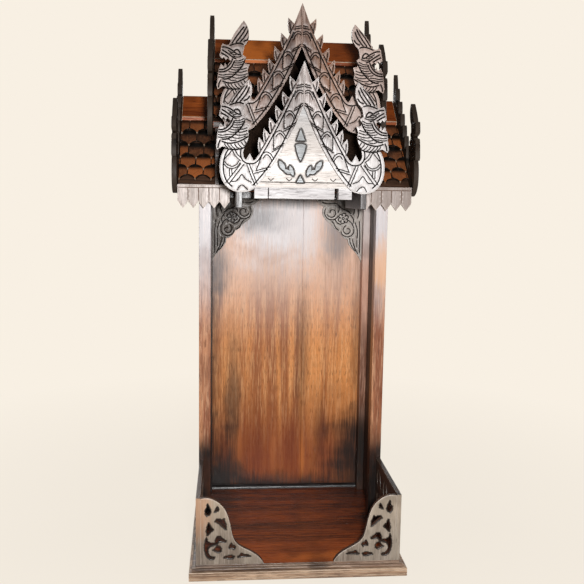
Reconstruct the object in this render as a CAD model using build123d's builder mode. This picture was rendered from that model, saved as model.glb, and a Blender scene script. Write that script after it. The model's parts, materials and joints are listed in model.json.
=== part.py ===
"""Wall-hung spirit house: a tall teak niche under a two-tier half roof with a two-tier naga porch.

Frame: X to the right, Y towards the wall, Z up. The wall is the plane Y = 0, the house stands
in front of it at negative Y, and Z = 0 is the underside of the base. All sizes in millimetres.
"""
from build123d import *
import os

os.makedirs("parts", exist_ok=True)

# ---------------------------------------------------------------- driving dimensions
house_width = 282.0       # outside of the side walls and posts
house_depth = 132.0       # wall to the front of the posts
niche_top = 516.0         # underside of the ceiling board
wall_thickness = 7.0
back_thickness = 8.0
post_width = 17.5
batten_width = 11.0       # corner strip between side wall and back panel
batten_depth = 20.0
ceiling_thickness = 6.0
lintel_drop = 4.0         # lintel reaches this far below the ceiling

base_margin = 8.0         # bottom plank beyond the side walls
base_depth = 292.0        # bottom plank, wall to front edge
plank_height = 12.0
floor_height = 7.0        # moulded floor board on the plank
floor_step = 9.0          # how far the floor board stands back from the plank's edge
step_drop = 3.5           # height of the lower step of the moulded edge
step_width = 5.0          # width of that step

tray_height = 94.0        # side panels and front brackets above the floor
fret_thickness = 6.0
bracket_width = 86.0
fret_motifs = 3           # repeats of the pierced leaves along a side panel

spandrel_width = 76.0
spandrel_height = 108.0
spandrel_thickness = 8.0

eave_rise = 15.0          # lower roof: top of the eave board above the ceiling's underside
eave_overhang = 16.0      # front of the eave board in front of the posts
roof_rise = 143.0         # top of the ridge board above the eave
roof_side_overhang = 30.0   # lower roof beyond the side walls
upper_roof_setback = 50.5   # upper roof inside the ends of the lower one
tier_rise = 90.0          # the upper roof repeats the lower one this much higher
roof_thickness = 7.0
tile_layer = 5.0          # ridge boards, and the tiles beside them, on the roof boards
ridge_band = 38.0         # ridge board, measured level from the wall
eave_thickness = 8.0
eave_board_height = 9.0
infill_inset = 3.0        # upper gable walls behind the upper gable boards
infill_thickness = 6.0

valance_thickness = 5.0
valance_drop = 34.0
tooth_pitch = 15.0
tooth_height = 10.0

porch_centre = -2.0       # the porch sits a little left of the middle
porch_reach = 270.0       # wall to the front face of the front gable
porch_step = 40.0         # the rear gable stands this far behind the front one
porch_rise = 81.0         # and this much higher
porch_ridge_rise = 119.0  # top of the front pediment above the eave
porch_slope = 1.76        # rise over run of the porch roofs
porch_roof_thickness = 6.0
porch_roof_drop = 2.0     # top of the porch roof boards below the pediment's point
pediment_thickness = 6.0
pediment_drop = 4.0       # bottom of the front pediment below the eave
recess_depth = 3.5        # of the cuts in the front pediment
rear_pediment_reach = 103.0   # wall to the face of the board that closes the rear gable

beam_half_width = 43.5
beam_height = 14.5
beam_depth = 16.0
block_width = 18.0
block_gaps = {"left": 1.0, "right": 5.0}   # between the beam and its end blocks
rail_inside = 78.0        # porch side rails, inner face from the porch's middle
rail_thickness = 8.0
rail_height = 22.0

carved_thickness = 8.0    # all naga boards
fin_length = 15.0         # flame along the board's edge
fin_height = 11.0         # flame's tip off that edge
fin_lean = 11.5           # flame's tip up the slope from its middle
fin_root = 2.0            # flame's foot inside the board's edge
fin_count = 6
foot_height = 32.5        # where the body turns up into the naga's throat, above the eave

# porch boards: each point is (share of the porch's half width, height above its slope)
gable_spike = 38.0        # apex above the pediment's point
gable_inner_drop = 18.0   # apex of the inner edge below that point
gable_shoulder = (0.236, 26.5)
gable_pull = (0.715, 16.4)
gable_inner_pull = (0.506, -39.5)
gable_foot = 0.992        # share of the half width at the throat
gable_head_scale = 0.96
gable_fins = (-0.02, 0.8)  # first and last flame, as shares of the upper edge

# boards at the ends of the main roof: shares of the eave's reach, heights above the roof's slope
end_spike = 42.0
end_inner_drop = 24.0
end_shoulder = (0.06, 20.5)
end_pull = (0.61, 13.0)
end_inner_pull = (0.44, -29.0)
end_foot = 0.796
end_foot_drop = 3.8       # the throat is this much lower than on the porch boards
end_head_scale = 0.92
end_rise = 84.0           # the upper end boards stand this much above the lower ones
end_fins = (0.06, 0.78)

# raised naga head, from the board's foot: (out, up) at full size
naga_neck = ((0, 0), (7.8, -3.1), (14.6, -0.5), (17.2, 6), (15, 15), (11.5, 23.5), (10, 32))
naga_mane = ((10, 32), (11, 37.5), (8.3, 45), (14, 46), (15, 49.5), (13, 55), (17.7, 58), (16.7, 64),
             (15.6, 70))
naga_crest_back = ((15.6, 70), (7.5, 81), (5.8, 90), (10, 103.5))
naga_crest_front = ((10, 103.5), (16.7, 96.5), (24, 88.5), (30, 81), (35.5, 71.5))
naga_face = ((35.5, 71.5), (39.5, 70), (45, 72), (47, 69), (48, 63), (49.5, 56), (46, 52), (43.5, 54.7),
             (41, 50.5), (38.5, 53), (34, 49), (37.5, 45.5), (39, 41.5), (42, 46.5), (43.5, 41), (47.5, 45.5),
             (50.5, 38.5), (51.5, 34.5), (52.5, 23.5), (53.5, 16), (52, 11), (45, 15.5), (40.5, 14.5))
naga_curl = ((40.5, 14.5), (46.5, 3.5), (48.5, -10), (45.5, -28.5), (35.5, -40.5), (19, -45), (3, -40.5))
throat_leaf = ((2.5, -4), (8.3, 7), (14, -3))
crest_leans = {"front": {"left": 0.0, "right": 0.0}, "rear": {"left": 6.5, "right": 0.0}}

clearance = 0.3

# ---------------------------------------------------------------- worked-out values
sides = (("left", -1), ("right", 1))
floor_top = plank_height + floor_height
half_house = house_width / 2
half_niche = half_house - wall_thickness
post_back = house_depth - post_width
base_width = house_width + 2 * base_margin
tray_front = base_depth - floor_step
tray_outside = base_width / 2 - floor_step
tray_top = floor_top + tray_height

eave_height = niche_top + eave_rise
eave_reach = house_depth + eave_overhang
ridge_height = eave_height + roof_rise
roof_slope = roof_rise / eave_reach
slope_length = (1 + roof_slope**2) ** 0.5
tile_drop = tile_layer * slope_length                      # plumb depth of the tile layer
roof_drop = (tile_layer + roof_thickness) * slope_length   # plumb depth to the roof's underside
roof_front = eave_reach - eave_thickness
half_lower_roof = half_house + roof_side_overhang
half_upper_roof = half_lower_roof - upper_roof_setback
infill_outside = half_upper_roof - infill_inset
infill_inside = infill_outside - infill_thickness

porch_ridge = eave_height + porch_ridge_rise
porch_roof_depth = porch_roof_drop + porch_roof_thickness * (1 + porch_slope**2) ** 0.5   # to its underside
porch_half_width = (porch_ridge_rise + pediment_drop - porch_roof_depth) / porch_slope - clearance
porch_opening = porch_half_width + clearance   # half of the gap that the rear porch leaves in the upper eave
pediment_bottom = eave_height - pediment_drop
carved_back = porch_reach - carved_thickness
pediment_back = carved_back - pediment_thickness
rear_reach = porch_reach - porch_step
rear_carved_back = rear_reach - carved_thickness
rear_pediment_back = rear_pediment_reach - pediment_thickness
rail_top = min(eave_height - eave_board_height, ridge_height - roof_slope * roof_front - roof_drop)
rail_bottom = rail_top - rail_height
rail_outside = rail_inside + rail_thickness
tooth_count = int((half_lower_roof - rail_outside + porch_centre) // tooth_pitch)


def save(piece, label):
    """Name a finished piece and write it to its own file."""
    piece.part.label = label
    export_step(piece.part, f"parts/{label}.step")


def box_between(x, y, z, mode=Mode.ADD):
    """A box from pairs of opposite x, y and z."""
    middle = ((x[0] + x[1]) / 2, (y[0] + y[1]) / 2, (z[0] + z[1]) / 2)
    with Locations(middle):
        Box(abs(x[1] - x[0]), abs(y[1] - y[0]), abs(z[1] - z[0]), mode=mode)


def board(label, x, y, z):
    """A plain board."""
    with BuildPart() as piece:
        box_between(x, y, z)
    save(piece, label)


def roof_plane(y, drop=0.0, lift=0.0):
    """Height of the main roof's face at depth y, lowered or lifted plumb."""
    return ridge_height + roof_slope * y - drop + lift


def porch_line(out, drop=0.0, lift=0.0):
    """Height of the pediment's slope at a distance out from the porch's middle."""
    return porch_ridge - porch_slope * out - drop + lift


def porch_plane(reach):
    """Upright plane this far from the wall, facing the front, with its origin below the porch's ridge."""
    return Plane(origin=(porch_centre, -reach, 0), x_dir=(1, 0, 0), z_dir=(0, -1, 0))


def slope_slab(x, y, top_drop, bottom_drop, lift=0.0, mode=Mode.ADD):
    """A slab that lies in the main roof's slope, with plumb ends."""
    with BuildSketch(Plane.YZ.offset(min(x))) as profile:
        Polygon(
            (y[0], roof_plane(y[0], top_drop, lift)),
            (y[1], roof_plane(y[1], top_drop, lift)),
            (y[1], roof_plane(y[1], bottom_drop, lift)),
            (y[0], roof_plane(y[0], bottom_drop, lift)),
            align=None,
        )
    extrude(profile.sketch, amount=abs(x[1] - x[0]), mode=mode)


def leaf(tip_a, tip_b, bulge_a, bulge_b):
    """A pointed leaf between two tips, made of two arcs; the bulges are to either side."""
    (ax, az), (bx, bz) = tip_a, tip_b
    length = ((bx - ax) ** 2 + (bz - az) ** 2) ** 0.5
    across = ((az - bz) / length, (bx - ax) / length)
    middle = ((ax + bx) / 2, (az + bz) / 2)
    with BuildLine() as edges:
        ThreePointArc(tip_a, (middle[0] + across[0] * bulge_a, middle[1] + across[1] * bulge_a), tip_b)
        ThreePointArc(tip_b, (middle[0] - across[0] * bulge_b, middle[1] - across[1] * bulge_b), tip_a)
    make_face(edges.edges())


# ---------------------------------------------------------------- base and niche
def make_base():
    board("base_plank", (-base_width / 2, base_width / 2), (-base_depth, 0), (0, plank_height))
    with BuildPart() as floor_board:
        outside = tray_outside + step_width
        step_top = plank_height + step_drop
        box_between((-outside, outside), (-tray_front - step_width, 0), (plank_height, step_top))
        box_between((-tray_outside, tray_outside), (-tray_front, 0), (plank_height, floor_top))
        front_edges = floor_board.edges().filter_by(Axis.X).group_by(Axis.Y)[0]
        fillet(front_edges.sort_by(Axis.Z)[-1], radius=step_drop / 2)
    save(floor_board, "floor_board")


def make_back():
    back_top = roof_plane(-back_thickness, roof_drop)
    board("back_panel", (-half_niche, half_niche), (-back_thickness, 0), (floor_top, back_top))
    upper_top = roof_plane(-back_thickness, roof_drop, tier_rise)
    upper_bottom = roof_plane(0, tile_drop)
    board("upper_back_board", (-infill_inside, infill_inside), (-back_thickness, 0), (upper_bottom, upper_top))
    with BuildPart() as battens:
        for _, sign in sides:
            across = (sign * (half_niche - batten_width), sign * half_niche)
            box_between(across, (-back_thickness - batten_depth, -back_thickness), (floor_top, niche_top))
    save(battens, "back_battens")


def make_walls():
    for side, sign in sides:
        with BuildPart() as wall:
            box_between((sign * half_niche, sign * half_house), (-post_back, 0), (floor_top, ridge_height))
            slope_slab((sign * half_niche, sign * half_house), (-post_back, 0), -roof_rise, roof_drop,
                       mode=Mode.SUBTRACT)
        save(wall, f"side_wall_{side}")
        with BuildPart() as post:
            across = (sign * (half_house - post_width), sign * half_house)
            post_top = roof_plane(-post_back)
            box_between(across, (-house_depth, -post_back), (floor_top, post_top))
            slope_slab(across, (-house_depth, -post_back), -roof_rise, roof_drop, mode=Mode.SUBTRACT)
        save(post, f"front_post_{side}")
    between_posts = half_house - post_width
    board("front_lintel", (-between_posts, between_posts), (-house_depth, -post_back),
          (niche_top - lintel_drop, roof_plane(-house_depth, roof_drop) - clearance))
    board("ceiling_board", (-half_niche, half_niche), (-post_back, -back_thickness),
          (niche_top, niche_top + ceiling_thickness))


def make_spandrels():
    """Carved scroll corners under the ceiling, on the back panel."""
    edge = half_niche - batten_width
    scallops = (
        ((0, 1), (0.13, 0.845), (0.225, 0.77), (0.285, 0.705), (0.295, 0.645)),
        ((0.295, 0.645), (0.395, 0.615), (0.455, 0.565), (0.485, 0.53)),
        ((0.485, 0.53), (0.565, 0.495), (0.625, 0.455), (0.685, 0.405)),
        ((0.685, 0.405), (0.805, 0.34), (0.86, 0.27), (0.87, 0.195), (0.84, 0.15)),
        ((0.84, 0.15), (0.92, 0.115), (1, 0.06)),
    )
    for side, sign in sides:
        def at(across, down):
            return (sign * (edge - across * spandrel_width), niche_top - down * spandrel_height)

        with BuildPart() as spandrel:
            with BuildSketch(Plane.XZ.offset(back_thickness)):
                with BuildLine():
                    Polyline(at(1, 0.06), at(1, 0), at(0, 0), at(0, 1))
                    for scallop in scallops:
                        Spline(*(at(*point) for point in scallop))
                make_face()
            extrude(amount=spandrel_thickness)
        save(spandrel, f"spandrel_{side}")


# ---------------------------------------------------------------- tray in front of the niche
def make_side_panels():
    """Low fretwork panels from the posts to the front corners."""
    motif = (tray_front - house_depth) / (fret_motifs + 0.25)
    # tips as (share of the motif, share of the height), bulges as shares of the motif
    leaves = (
        ((-0.34, 0.13), (0.30, 0.17), 0.13, 0.045),
        ((-0.32, 0.26), (-0.13, 0.51), 0.11, 0.065),
        ((0.32, 0.28), (0.09, 0.49), 0.065, 0.13),
        ((-0.26, 0.62), (-0.06, 0.85), 0.13, 0.045),
        ((0.28, 0.60), (0.15, 0.87), 0.045, 0.13),
    )
    for side, sign in sides:
        inner = sign * (tray_outside - fret_thickness)
        with BuildPart() as panel:
            box_between((inner, sign * tray_outside), (-tray_front, -house_depth), (floor_top, tray_top))
            with BuildSketch(Plane.YZ.offset(min(inner, sign * tray_outside))):
                for index in range(fret_motifs):
                    middle = -house_depth - motif * (index + 0.62)
                    for tip_a, tip_b, bulge_a, bulge_b in leaves:
                        ends = [(middle + y * motif, floor_top + z * tray_height) for y, z in (tip_a, tip_b)]
                        leaf(*ends, bulge_a * motif, bulge_b * motif)
            extrude(amount=fret_thickness, mode=Mode.SUBTRACT)
        save(panel, f"side_panel_{side}")


def make_brackets():
    """Fretwork corners that close the front of the tray at either side."""
    edge = tray_outside - fret_thickness
    back = Plane.XZ.offset(tray_front - fret_thickness)
    # all points as (share of the width, share of the height)
    sweep = ((0, 0.99), (0.16, 0.99), (0.35, 0.87), (0.48, 0.54), (0.56, 0.33), (0.77, 0.2), (1, 0))
    openings = (
        ((0.115, 0.915), (0.145, 0.845), (0.165, 0.805), (0.145, 0.76), (0.11, 0.735), (0.08, 0.765),
         (0.08, 0.83), (0.105, 0.86)),
        ((0.225, 0.795), (0.245, 0.845), (0.265, 0.87), (0.285, 0.845), (0.275, 0.81)),
        ((0.235, 0.655), (0.26, 0.685), (0.32, 0.68), (0.345, 0.665), (0.37, 0.69), (0.38, 0.64),
         (0.4, 0.605), (0.4, 0.53), (0.355, 0.565), (0.31, 0.605)),
        ((0.13, 0.63), (0.16, 0.57), (0.205, 0.53), (0.17, 0.5), (0.11, 0.445), (0.1, 0.51),
         (0.115, 0.575)),
        ((0.25, 0.395), (0.265, 0.425), (0.31, 0.425), (0.335, 0.405), (0.365, 0.38), (0.4, 0.36),
         (0.4, 0.34), (0.35, 0.34), (0.315, 0.355), (0.28, 0.34), (0.26, 0.305), (0.2, 0.295),
         (0.15, 0.27), (0.12, 0.245), (0.115, 0.19), (0.14, 0.15), (0.17, 0.115), (0.225, 0.11),
         (0.22, 0.09), (0.15, 0.085), (0.105, 0.13), (0.08, 0.19), (0.07, 0.265), (0.08, 0.33),
         (0.095, 0.41), (0.11, 0.36), (0.15, 0.33), (0.235, 0.325)),
        ((0.2, 0.225), (0.235, 0.24), (0.265, 0.28), (0.3, 0.275), (0.325, 0.245), (0.325, 0.205),
         (0.3, 0.185), (0.255, 0.195)),
        ((0.455, 0.24), (0.47, 0.295), (0.49, 0.315), (0.5, 0.275), (0.525, 0.285), (0.55, 0.26),
         (0.535, 0.23), (0.5, 0.245)),
        ((0.375, 0.1), (0.405, 0.125), (0.455, 0.13), (0.5, 0.13), (0.535, 0.115), (0.51, 0.09),
         (0.475, 0.085), (0.43, 0.095)),
        ((0.59, 0.11), (0.63, 0.135), (0.645, 0.165), (0.68, 0.145), (0.735, 0.14), (0.79, 0.115),
         (0.74, 0.115), (0.665, 0.115)),
    )
    for side, sign in sides:
        def at(across, up):
            return (sign * (edge - across * bracket_width), floor_top + up * tray_height)

        with BuildPart() as bracket:
            with BuildSketch(back):
                with BuildLine():
                    Polyline(at(1, 0), at(0, 0), at(*sweep[0]))
                    Spline(*(at(*point) for point in sweep))
                make_face()
            extrude(amount=fret_thickness)
            with BuildSketch(back):
                for opening in openings:
                    Polygon(*(at(*point) for point in opening), align=None)
            extrude(amount=fret_thickness, mode=Mode.SUBTRACT)
        save(bracket, f"front_bracket_{side}")


# ---------------------------------------------------------------- main roof
def make_lower_roof():
    with BuildPart() as roof_board:
        slope_slab((-half_lower_roof, half_lower_roof), (-roof_front, 0), tile_drop, roof_drop)
    save(roof_board, "lower_roof_board")
    board("lower_eave_board", (-half_lower_roof, half_lower_roof), (-eave_reach, -roof_front),
          (eave_height - eave_board_height, eave_height))
    with BuildPart() as ridges:
        for _, sign in sides:
            slope_slab((sign * infill_outside, sign * half_lower_roof), (-ridge_band, 0), 0, tile_drop)
    save(ridges, "lower_ridge_boards")


def make_upper_roof():
    """The upper tier is open between its ends and the rear porch, which stands in the opening."""
    with BuildPart() as roof_board:
        slope_slab((-half_upper_roof, half_upper_roof), (-roof_front, 0), tile_drop, roof_drop, tier_rise)
        underside = porch_roof_depth - clearance
        with BuildSketch(porch_plane(rear_pediment_back)) as opening:
            Polygon((-porch_half_width, porch_line(porch_half_width, underside, porch_rise)),
                    (porch_half_width, porch_line(porch_half_width, underside, porch_rise)),
                    (0, porch_line(0, underside, porch_rise)), align=None)
        extrude(opening.sketch, amount=eave_reach - rear_pediment_back, mode=Mode.SUBTRACT)
    save(roof_board, "upper_roof_board")
    with BuildPart() as ridge:
        slope_slab((-half_upper_roof, half_upper_roof), (-ridge_band, 0), 0, tile_drop, tier_rise)
    save(ridge, "upper_ridge_board")
    with BuildPart() as eaves:
        for _, sign in sides:
            across = (porch_centre + sign * porch_opening, sign * half_upper_roof)
            top = eave_height + tier_rise
            box_between(across, (-eave_reach, -roof_front), (top - eave_board_height, top))
    save(eaves, "upper_eave_boards")


def make_upper_walls():
    """Boards that carry the upper roof on the lower one."""
    for side, sign in sides:
        with BuildPart() as infill:
            slope_slab((sign * infill_inside, sign * infill_outside), (-roof_front, 0),
                       roof_drop - tier_rise, tile_drop)
        save(infill, f"upper_gable_wall_{side}")
    with BuildPart() as front_boards:
        for _, sign in sides:
            across = (porch_centre + sign * porch_opening, sign * infill_inside)
            slope_slab(across, (-roof_front, -roof_front + infill_thickness), roof_drop - tier_rise, tile_drop)
    save(front_boards, "upper_front_boards")


def make_valances():
    """Boards with pointed teeth that hang from the lower eave at either side of the porch."""
    inner = half_lower_roof - tooth_pitch * tooth_count
    tips = eave_height - valance_drop
    with BuildPart() as valances:
        for _, sign in sides:
            corners = [(sign * inner, eave_height), (sign * half_lower_roof, eave_height)]
            for tooth in range(tooth_count):
                x = half_lower_roof - tooth * tooth_pitch
                corners.append((sign * x, tips + tooth_height))
                corners.append((sign * (x - tooth_pitch / 2), tips))
            corners.append((sign * inner, tips + tooth_height))
            with BuildSketch(Plane.XZ.offset(eave_reach)):
                with BuildLine():
                    Polyline(*corners, close=True)
                make_face()
            extrude(amount=valance_thickness)
    save(valances, "valances")


# ---------------------------------------------------------------- naga boards
def naga_outline(sign, apex, shoulder, pull, foot, inner_pull, inner_apex, head_scale, crest_lean=0.0):
    """Half a gable's board: spike, body, curled foot and the raised naga head with its crest.

    Points are (out, up): out from the ridge's middle and up from the base.
    """
    crest_low, crest_high = naga_crest_back[0][1], naga_crest_back[-1][1]

    def at(point):
        return (sign * point[0], point[1])

    def head(points):
        placed = []
        for out, up in points:
            lean = crest_lean * max(0.0, up - crest_low) / (crest_high - crest_low)
            placed.append(at((foot[0] + out * head_scale + lean, foot[1] + up * head_scale)))
        return placed

    with BuildLine() as outline:
        Line(at(inner_apex), at(apex))
        Line(at(apex), at(shoulder))
        Bezier(at(shoulder), at(pull), at(foot))
        Spline(*head(naga_neck))
        Polyline(*head(naga_mane))
        Spline(*head(naga_crest_back))
        Spline(*head(naga_crest_front))
        Polyline(*head(naga_face))
        Spline(*head(naga_curl))
        Bezier(head(naga_curl)[-1], at(inner_pull), at(inner_apex))
    make_face(outline.edges())
    Polygon(*head(throat_leaf), align=None)


def flame_fins(sign, shoulder, pull, foot, span):
    """Small flames along the body's upper edge, each leaning up the slope."""
    for index in range(fin_count):
        along = span[0] + (span[1] - span[0]) * index / (fin_count - 1)
        away = 1 - along
        point = [away**2 * a + 2 * away * along * b + along**2 * c for a, b, c in zip(shoulder, pull, foot)]
        course = [away * (b - a) + along * (c - b) for a, b, c in zip(shoulder, pull, foot)]
        length = (course[0] ** 2 + course[1] ** 2) ** 0.5
        down = (course[0] / length, course[1] / length)
        outward = (-down[1], down[0])

        def at(along_edge, off_edge):
            out = point[0] + down[0] * along_edge + outward[0] * off_edge
            up = point[1] + down[1] * along_edge + outward[1] * off_edge
            return (sign * out, up)

        lower_foot = at(fin_length * 0.5, -fin_root)
        upper_foot = at(-fin_length * 0.5, -fin_root)
        tip = at(-fin_lean, fin_height)
        with BuildLine() as flame:
            Line(upper_foot, lower_foot)
            ThreePointArc(lower_foot, at(-fin_length * 0.05, fin_height * 0.55), tip)
            ThreePointArc(tip, at(-fin_length * 0.62, fin_height * 0.4), upper_foot)
        make_face(flame.edges())


def end_point(share, height, lift):
    """A point of an end board: share of the eave's reach, height above the main roof's slope."""
    out = share * eave_reach
    return (out, roof_plane(-out) + height + lift)


def make_end_boards(tier, half_width, lift):
    shoulder = end_point(*end_shoulder, lift)
    pull = end_point(*end_pull, lift)
    foot = (end_foot * eave_reach, eave_height + foot_height - end_foot_drop + lift)
    apex = (0, ridge_height + end_spike + lift)
    inner_apex = (0, ridge_height - end_inner_drop + lift)
    for side, sign in sides:
        with BuildPart() as end_board:
            with BuildSketch(Plane.YZ.offset(half_width if sign > 0 else -half_width - carved_thickness)):
                naga_outline(-1, apex, shoulder, pull, foot, end_point(*end_inner_pull, lift), inner_apex,
                             end_head_scale)
                flame_fins(-1, shoulder, pull, foot, end_fins)
            extrude(amount=carved_thickness)
        save(end_board, f"{tier}_end_board_{side}")


def gable_point(share, height, lift):
    """A point of a porch board: share of the porch's half width, height above its slope."""
    out = share * porch_half_width
    return (out, porch_line(out) + height + lift)


def make_bargeboards(tier, reach, lift):
    shoulder = gable_point(*gable_shoulder, lift)
    pull = gable_point(*gable_pull, lift)
    foot = (gable_foot * porch_half_width, eave_height + foot_height + lift)
    apex = (0, porch_ridge + gable_spike + lift)
    inner_apex = (0, porch_ridge - gable_inner_drop + lift)
    for side, sign in sides:
        with BuildPart() as bargeboard:
            with BuildSketch(porch_plane(reach - carved_thickness)):
                naga_outline(sign, apex, shoulder, pull, foot, gable_point(*gable_inner_pull, lift), inner_apex,
                             gable_head_scale, crest_leans[tier][side])
                flame_fins(sign, shoulder, pull, foot, gable_fins)
            extrude(amount=carved_thickness)
        save(bargeboard, f"{tier}_bargeboard_{side}")


# ---------------------------------------------------------------- porch
def make_front_pediment():
    """Triangular board behind the front gable, cut with a leaf, a shield and two scrolls."""
    height = porch_ridge - pediment_bottom
    half_width = height / porch_slope

    def at(out, up):
        return (out * half_width, pediment_bottom + up * height)

    with BuildPart() as pediment:
        with BuildSketch(porch_plane(pediment_back)):
            Polygon(at(-1, 0), at(1, 0), at(0, 1), align=None)
        extrude(amount=pediment_thickness)
        with BuildSketch(porch_plane(carved_back - recess_depth)):
            Polygon(at(-0.115, 0.50), at(0.045, 0.50), at(-0.035, 0.62), align=None)
            with BuildLine() as shield:
                ThreePointArc(at(-0.13, 0.45), at(-0.035, 0.465), at(0.06, 0.45))
                Spline(at(0.06, 0.45), at(0.03, 0.37), at(-0.035, 0.285))
                Spline(at(-0.035, 0.285), at(-0.1, 0.37), at(-0.13, 0.45))
            make_face(shield.edges())
            for sign in (-1, 1):
                for tip_a, tip_b, bulge in (((0.40, 0.285), (0.29, 0.18), 0.045),
                                            ((0.31, 0.19), (0.18, 0.155), 0.035),
                                            ((0.20, 0.235), (0.13, 0.125), 0.035)):
                    ends = [at(-0.035 + sign * out, up) for out, up in (tip_a, tip_b)]
                    leaf(*ends, bulge * half_width, bulge * half_width)
            Polygon(at(-0.10, 0.06), at(0.03, 0.06), at(-0.035, 0.13), align=None)
        extrude(amount=recess_depth, mode=Mode.SUBTRACT)
    save(pediment, "front_pediment")


def make_rear_pediment():
    """Upright board deep inside the rear gable: it stands on the lower roof and closes the upper one."""
    foot = roof_plane(-rear_pediment_back, tile_drop) + clearance
    under_roof = roof_plane(-rear_pediment_reach, roof_drop, tier_rise) - clearance
    underside = porch_roof_depth + clearance
    apex = porch_line(0, underside, porch_rise)
    shoulder = (apex - under_roof) / porch_slope
    half_width = porch_opening + infill_thickness
    with BuildPart() as pediment:
        with BuildSketch(porch_plane(rear_pediment_back)):
            Polygon((-half_width, foot), (half_width, foot), (half_width, under_roof), (shoulder, under_roof),
                    (0, apex), (-shoulder, under_roof), (-half_width, under_roof), align=None)
        extrude(amount=pediment_thickness)
    save(pediment, "rear_pediment")


def make_porch_roofs():
    """Two steep boards for each tier, mitred at the ridge; each pair ends on the main roof below it."""
    tiers = (
        ("front", pediment_back, rear_pediment_reach + clearance, 0.0, 0.0),
        ("rear", rear_carved_back, 0.0, porch_rise, tier_rise),
    )
    for tier, front, back, lift, roof_lift in tiers:
        for side, sign in sides:
            with BuildPart() as roof:
                with BuildSketch(porch_plane(back)):
                    Polygon(
                        (0, porch_line(0, porch_roof_drop, lift)),
                        (sign * porch_half_width, porch_line(porch_half_width, porch_roof_drop, lift)),
                        (sign * porch_half_width, porch_line(porch_half_width, porch_roof_depth, lift)),
                        (0, porch_line(0, porch_roof_depth, lift)),
                        align=None,
                    )
                extrude(amount=front - back)
                across = (porch_centre, porch_centre + sign * porch_half_width)
                slope_slab(across, (-eave_reach - clearance, 0), 0, ridge_height, roof_lift, mode=Mode.SUBTRACT)
            save(roof, f"{tier}_porch_roof_{side}")


def make_porch_frame():
    beam_y = (-carved_back, -carved_back + beam_depth)
    beam_z = (pediment_bottom - beam_height, pediment_bottom)
    board("porch_beam", (porch_centre - beam_half_width, porch_centre + beam_half_width), beam_y, beam_z)
    with BuildPart() as blocks:
        for side, sign in sides:
            inside = beam_half_width + block_gaps[side]
            across = (porch_centre + sign * inside, porch_centre + sign * (inside + block_width))
            box_between(across, beam_y, beam_z)
    save(blocks, "porch_end_blocks")
    with BuildPart() as rails:
        for _, sign in sides:
            across = (porch_centre + sign * rail_inside, porch_centre + sign * rail_outside)
            box_between(across, (-carved_back, -house_depth), (rail_bottom, rail_top))
    save(rails, "porch_side_rails")


make_base()
make_back()
make_walls()
make_spandrels()
make_side_panels()
make_brackets()
make_lower_roof()
make_upper_roof()
make_upper_walls()
make_valances()
make_end_boards("lower", half_lower_roof, 0.0)
make_end_boards("upper", half_upper_roof, end_rise)
make_bargeboards("front", porch_reach, 0.0)
make_bargeboards("rear", rear_reach, porch_rise)
make_front_pediment()
make_rear_pediment()
make_porch_roofs()
make_porch_frame()
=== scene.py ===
"""Looks of the hanging teak spirit house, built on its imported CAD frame."""

import json
import random
from math import atan, cos, dist, pi, radians, sin

import bmesh
import bpy
import numpy as np
from mathutils import Matrix, Vector
from mathutils.geometry import delaunay_2d_cdt


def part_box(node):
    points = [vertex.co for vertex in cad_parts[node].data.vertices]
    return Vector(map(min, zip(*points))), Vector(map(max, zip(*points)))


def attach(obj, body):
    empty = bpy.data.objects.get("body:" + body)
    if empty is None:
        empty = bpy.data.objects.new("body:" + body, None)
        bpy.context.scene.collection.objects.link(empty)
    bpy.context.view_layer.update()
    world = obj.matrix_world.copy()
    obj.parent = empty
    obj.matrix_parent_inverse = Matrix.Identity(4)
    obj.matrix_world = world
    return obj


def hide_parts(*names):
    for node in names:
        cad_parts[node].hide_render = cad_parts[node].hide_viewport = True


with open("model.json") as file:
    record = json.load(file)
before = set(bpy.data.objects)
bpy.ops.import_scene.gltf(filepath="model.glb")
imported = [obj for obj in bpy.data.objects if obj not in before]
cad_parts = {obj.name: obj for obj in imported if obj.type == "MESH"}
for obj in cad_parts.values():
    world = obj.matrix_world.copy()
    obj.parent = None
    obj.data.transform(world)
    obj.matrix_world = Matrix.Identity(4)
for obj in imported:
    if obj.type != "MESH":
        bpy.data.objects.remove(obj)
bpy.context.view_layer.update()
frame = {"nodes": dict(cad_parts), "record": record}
scene = bpy.context.scene
MM = 0.001

# ------ camera
CAMERA_PLACE = (-0.1004, -1.2701, 0.516)
YAW, PITCH, ROLL = 4.95, -7.13, 0.87
SENSOR_WIDTH = 36
FOCAL_LENGTH = 47.14


def place_camera():
    """Level with the foot of the roof, a little left of the middle, looking slightly down and right."""
    yaw, pitch, roll = radians(YAW), radians(PITCH), radians(ROLL)
    forward = Vector((sin(yaw) * cos(pitch), cos(yaw) * cos(pitch), sin(pitch)))
    level_right = Vector((cos(yaw), -sin(yaw), 0))
    level_up = level_right.cross(forward)
    right = level_right * cos(roll) + level_up * sin(roll)
    up = level_up * cos(roll) - level_right * sin(roll)
    camera = bpy.data.objects.new("camera", bpy.data.cameras.new("camera"))
    camera.data.sensor_width = SENSOR_WIDTH
    camera.data.lens = FOCAL_LENGTH
    camera.data.clip_start = 0.01
    turn = Matrix((right, up, -forward)).transposed().to_4x4()
    camera.matrix_world = Matrix.Translation(CAMERA_PLACE) @ turn
    scene.collection.objects.link(camera)
    scene.camera = camera


place_camera()


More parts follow.
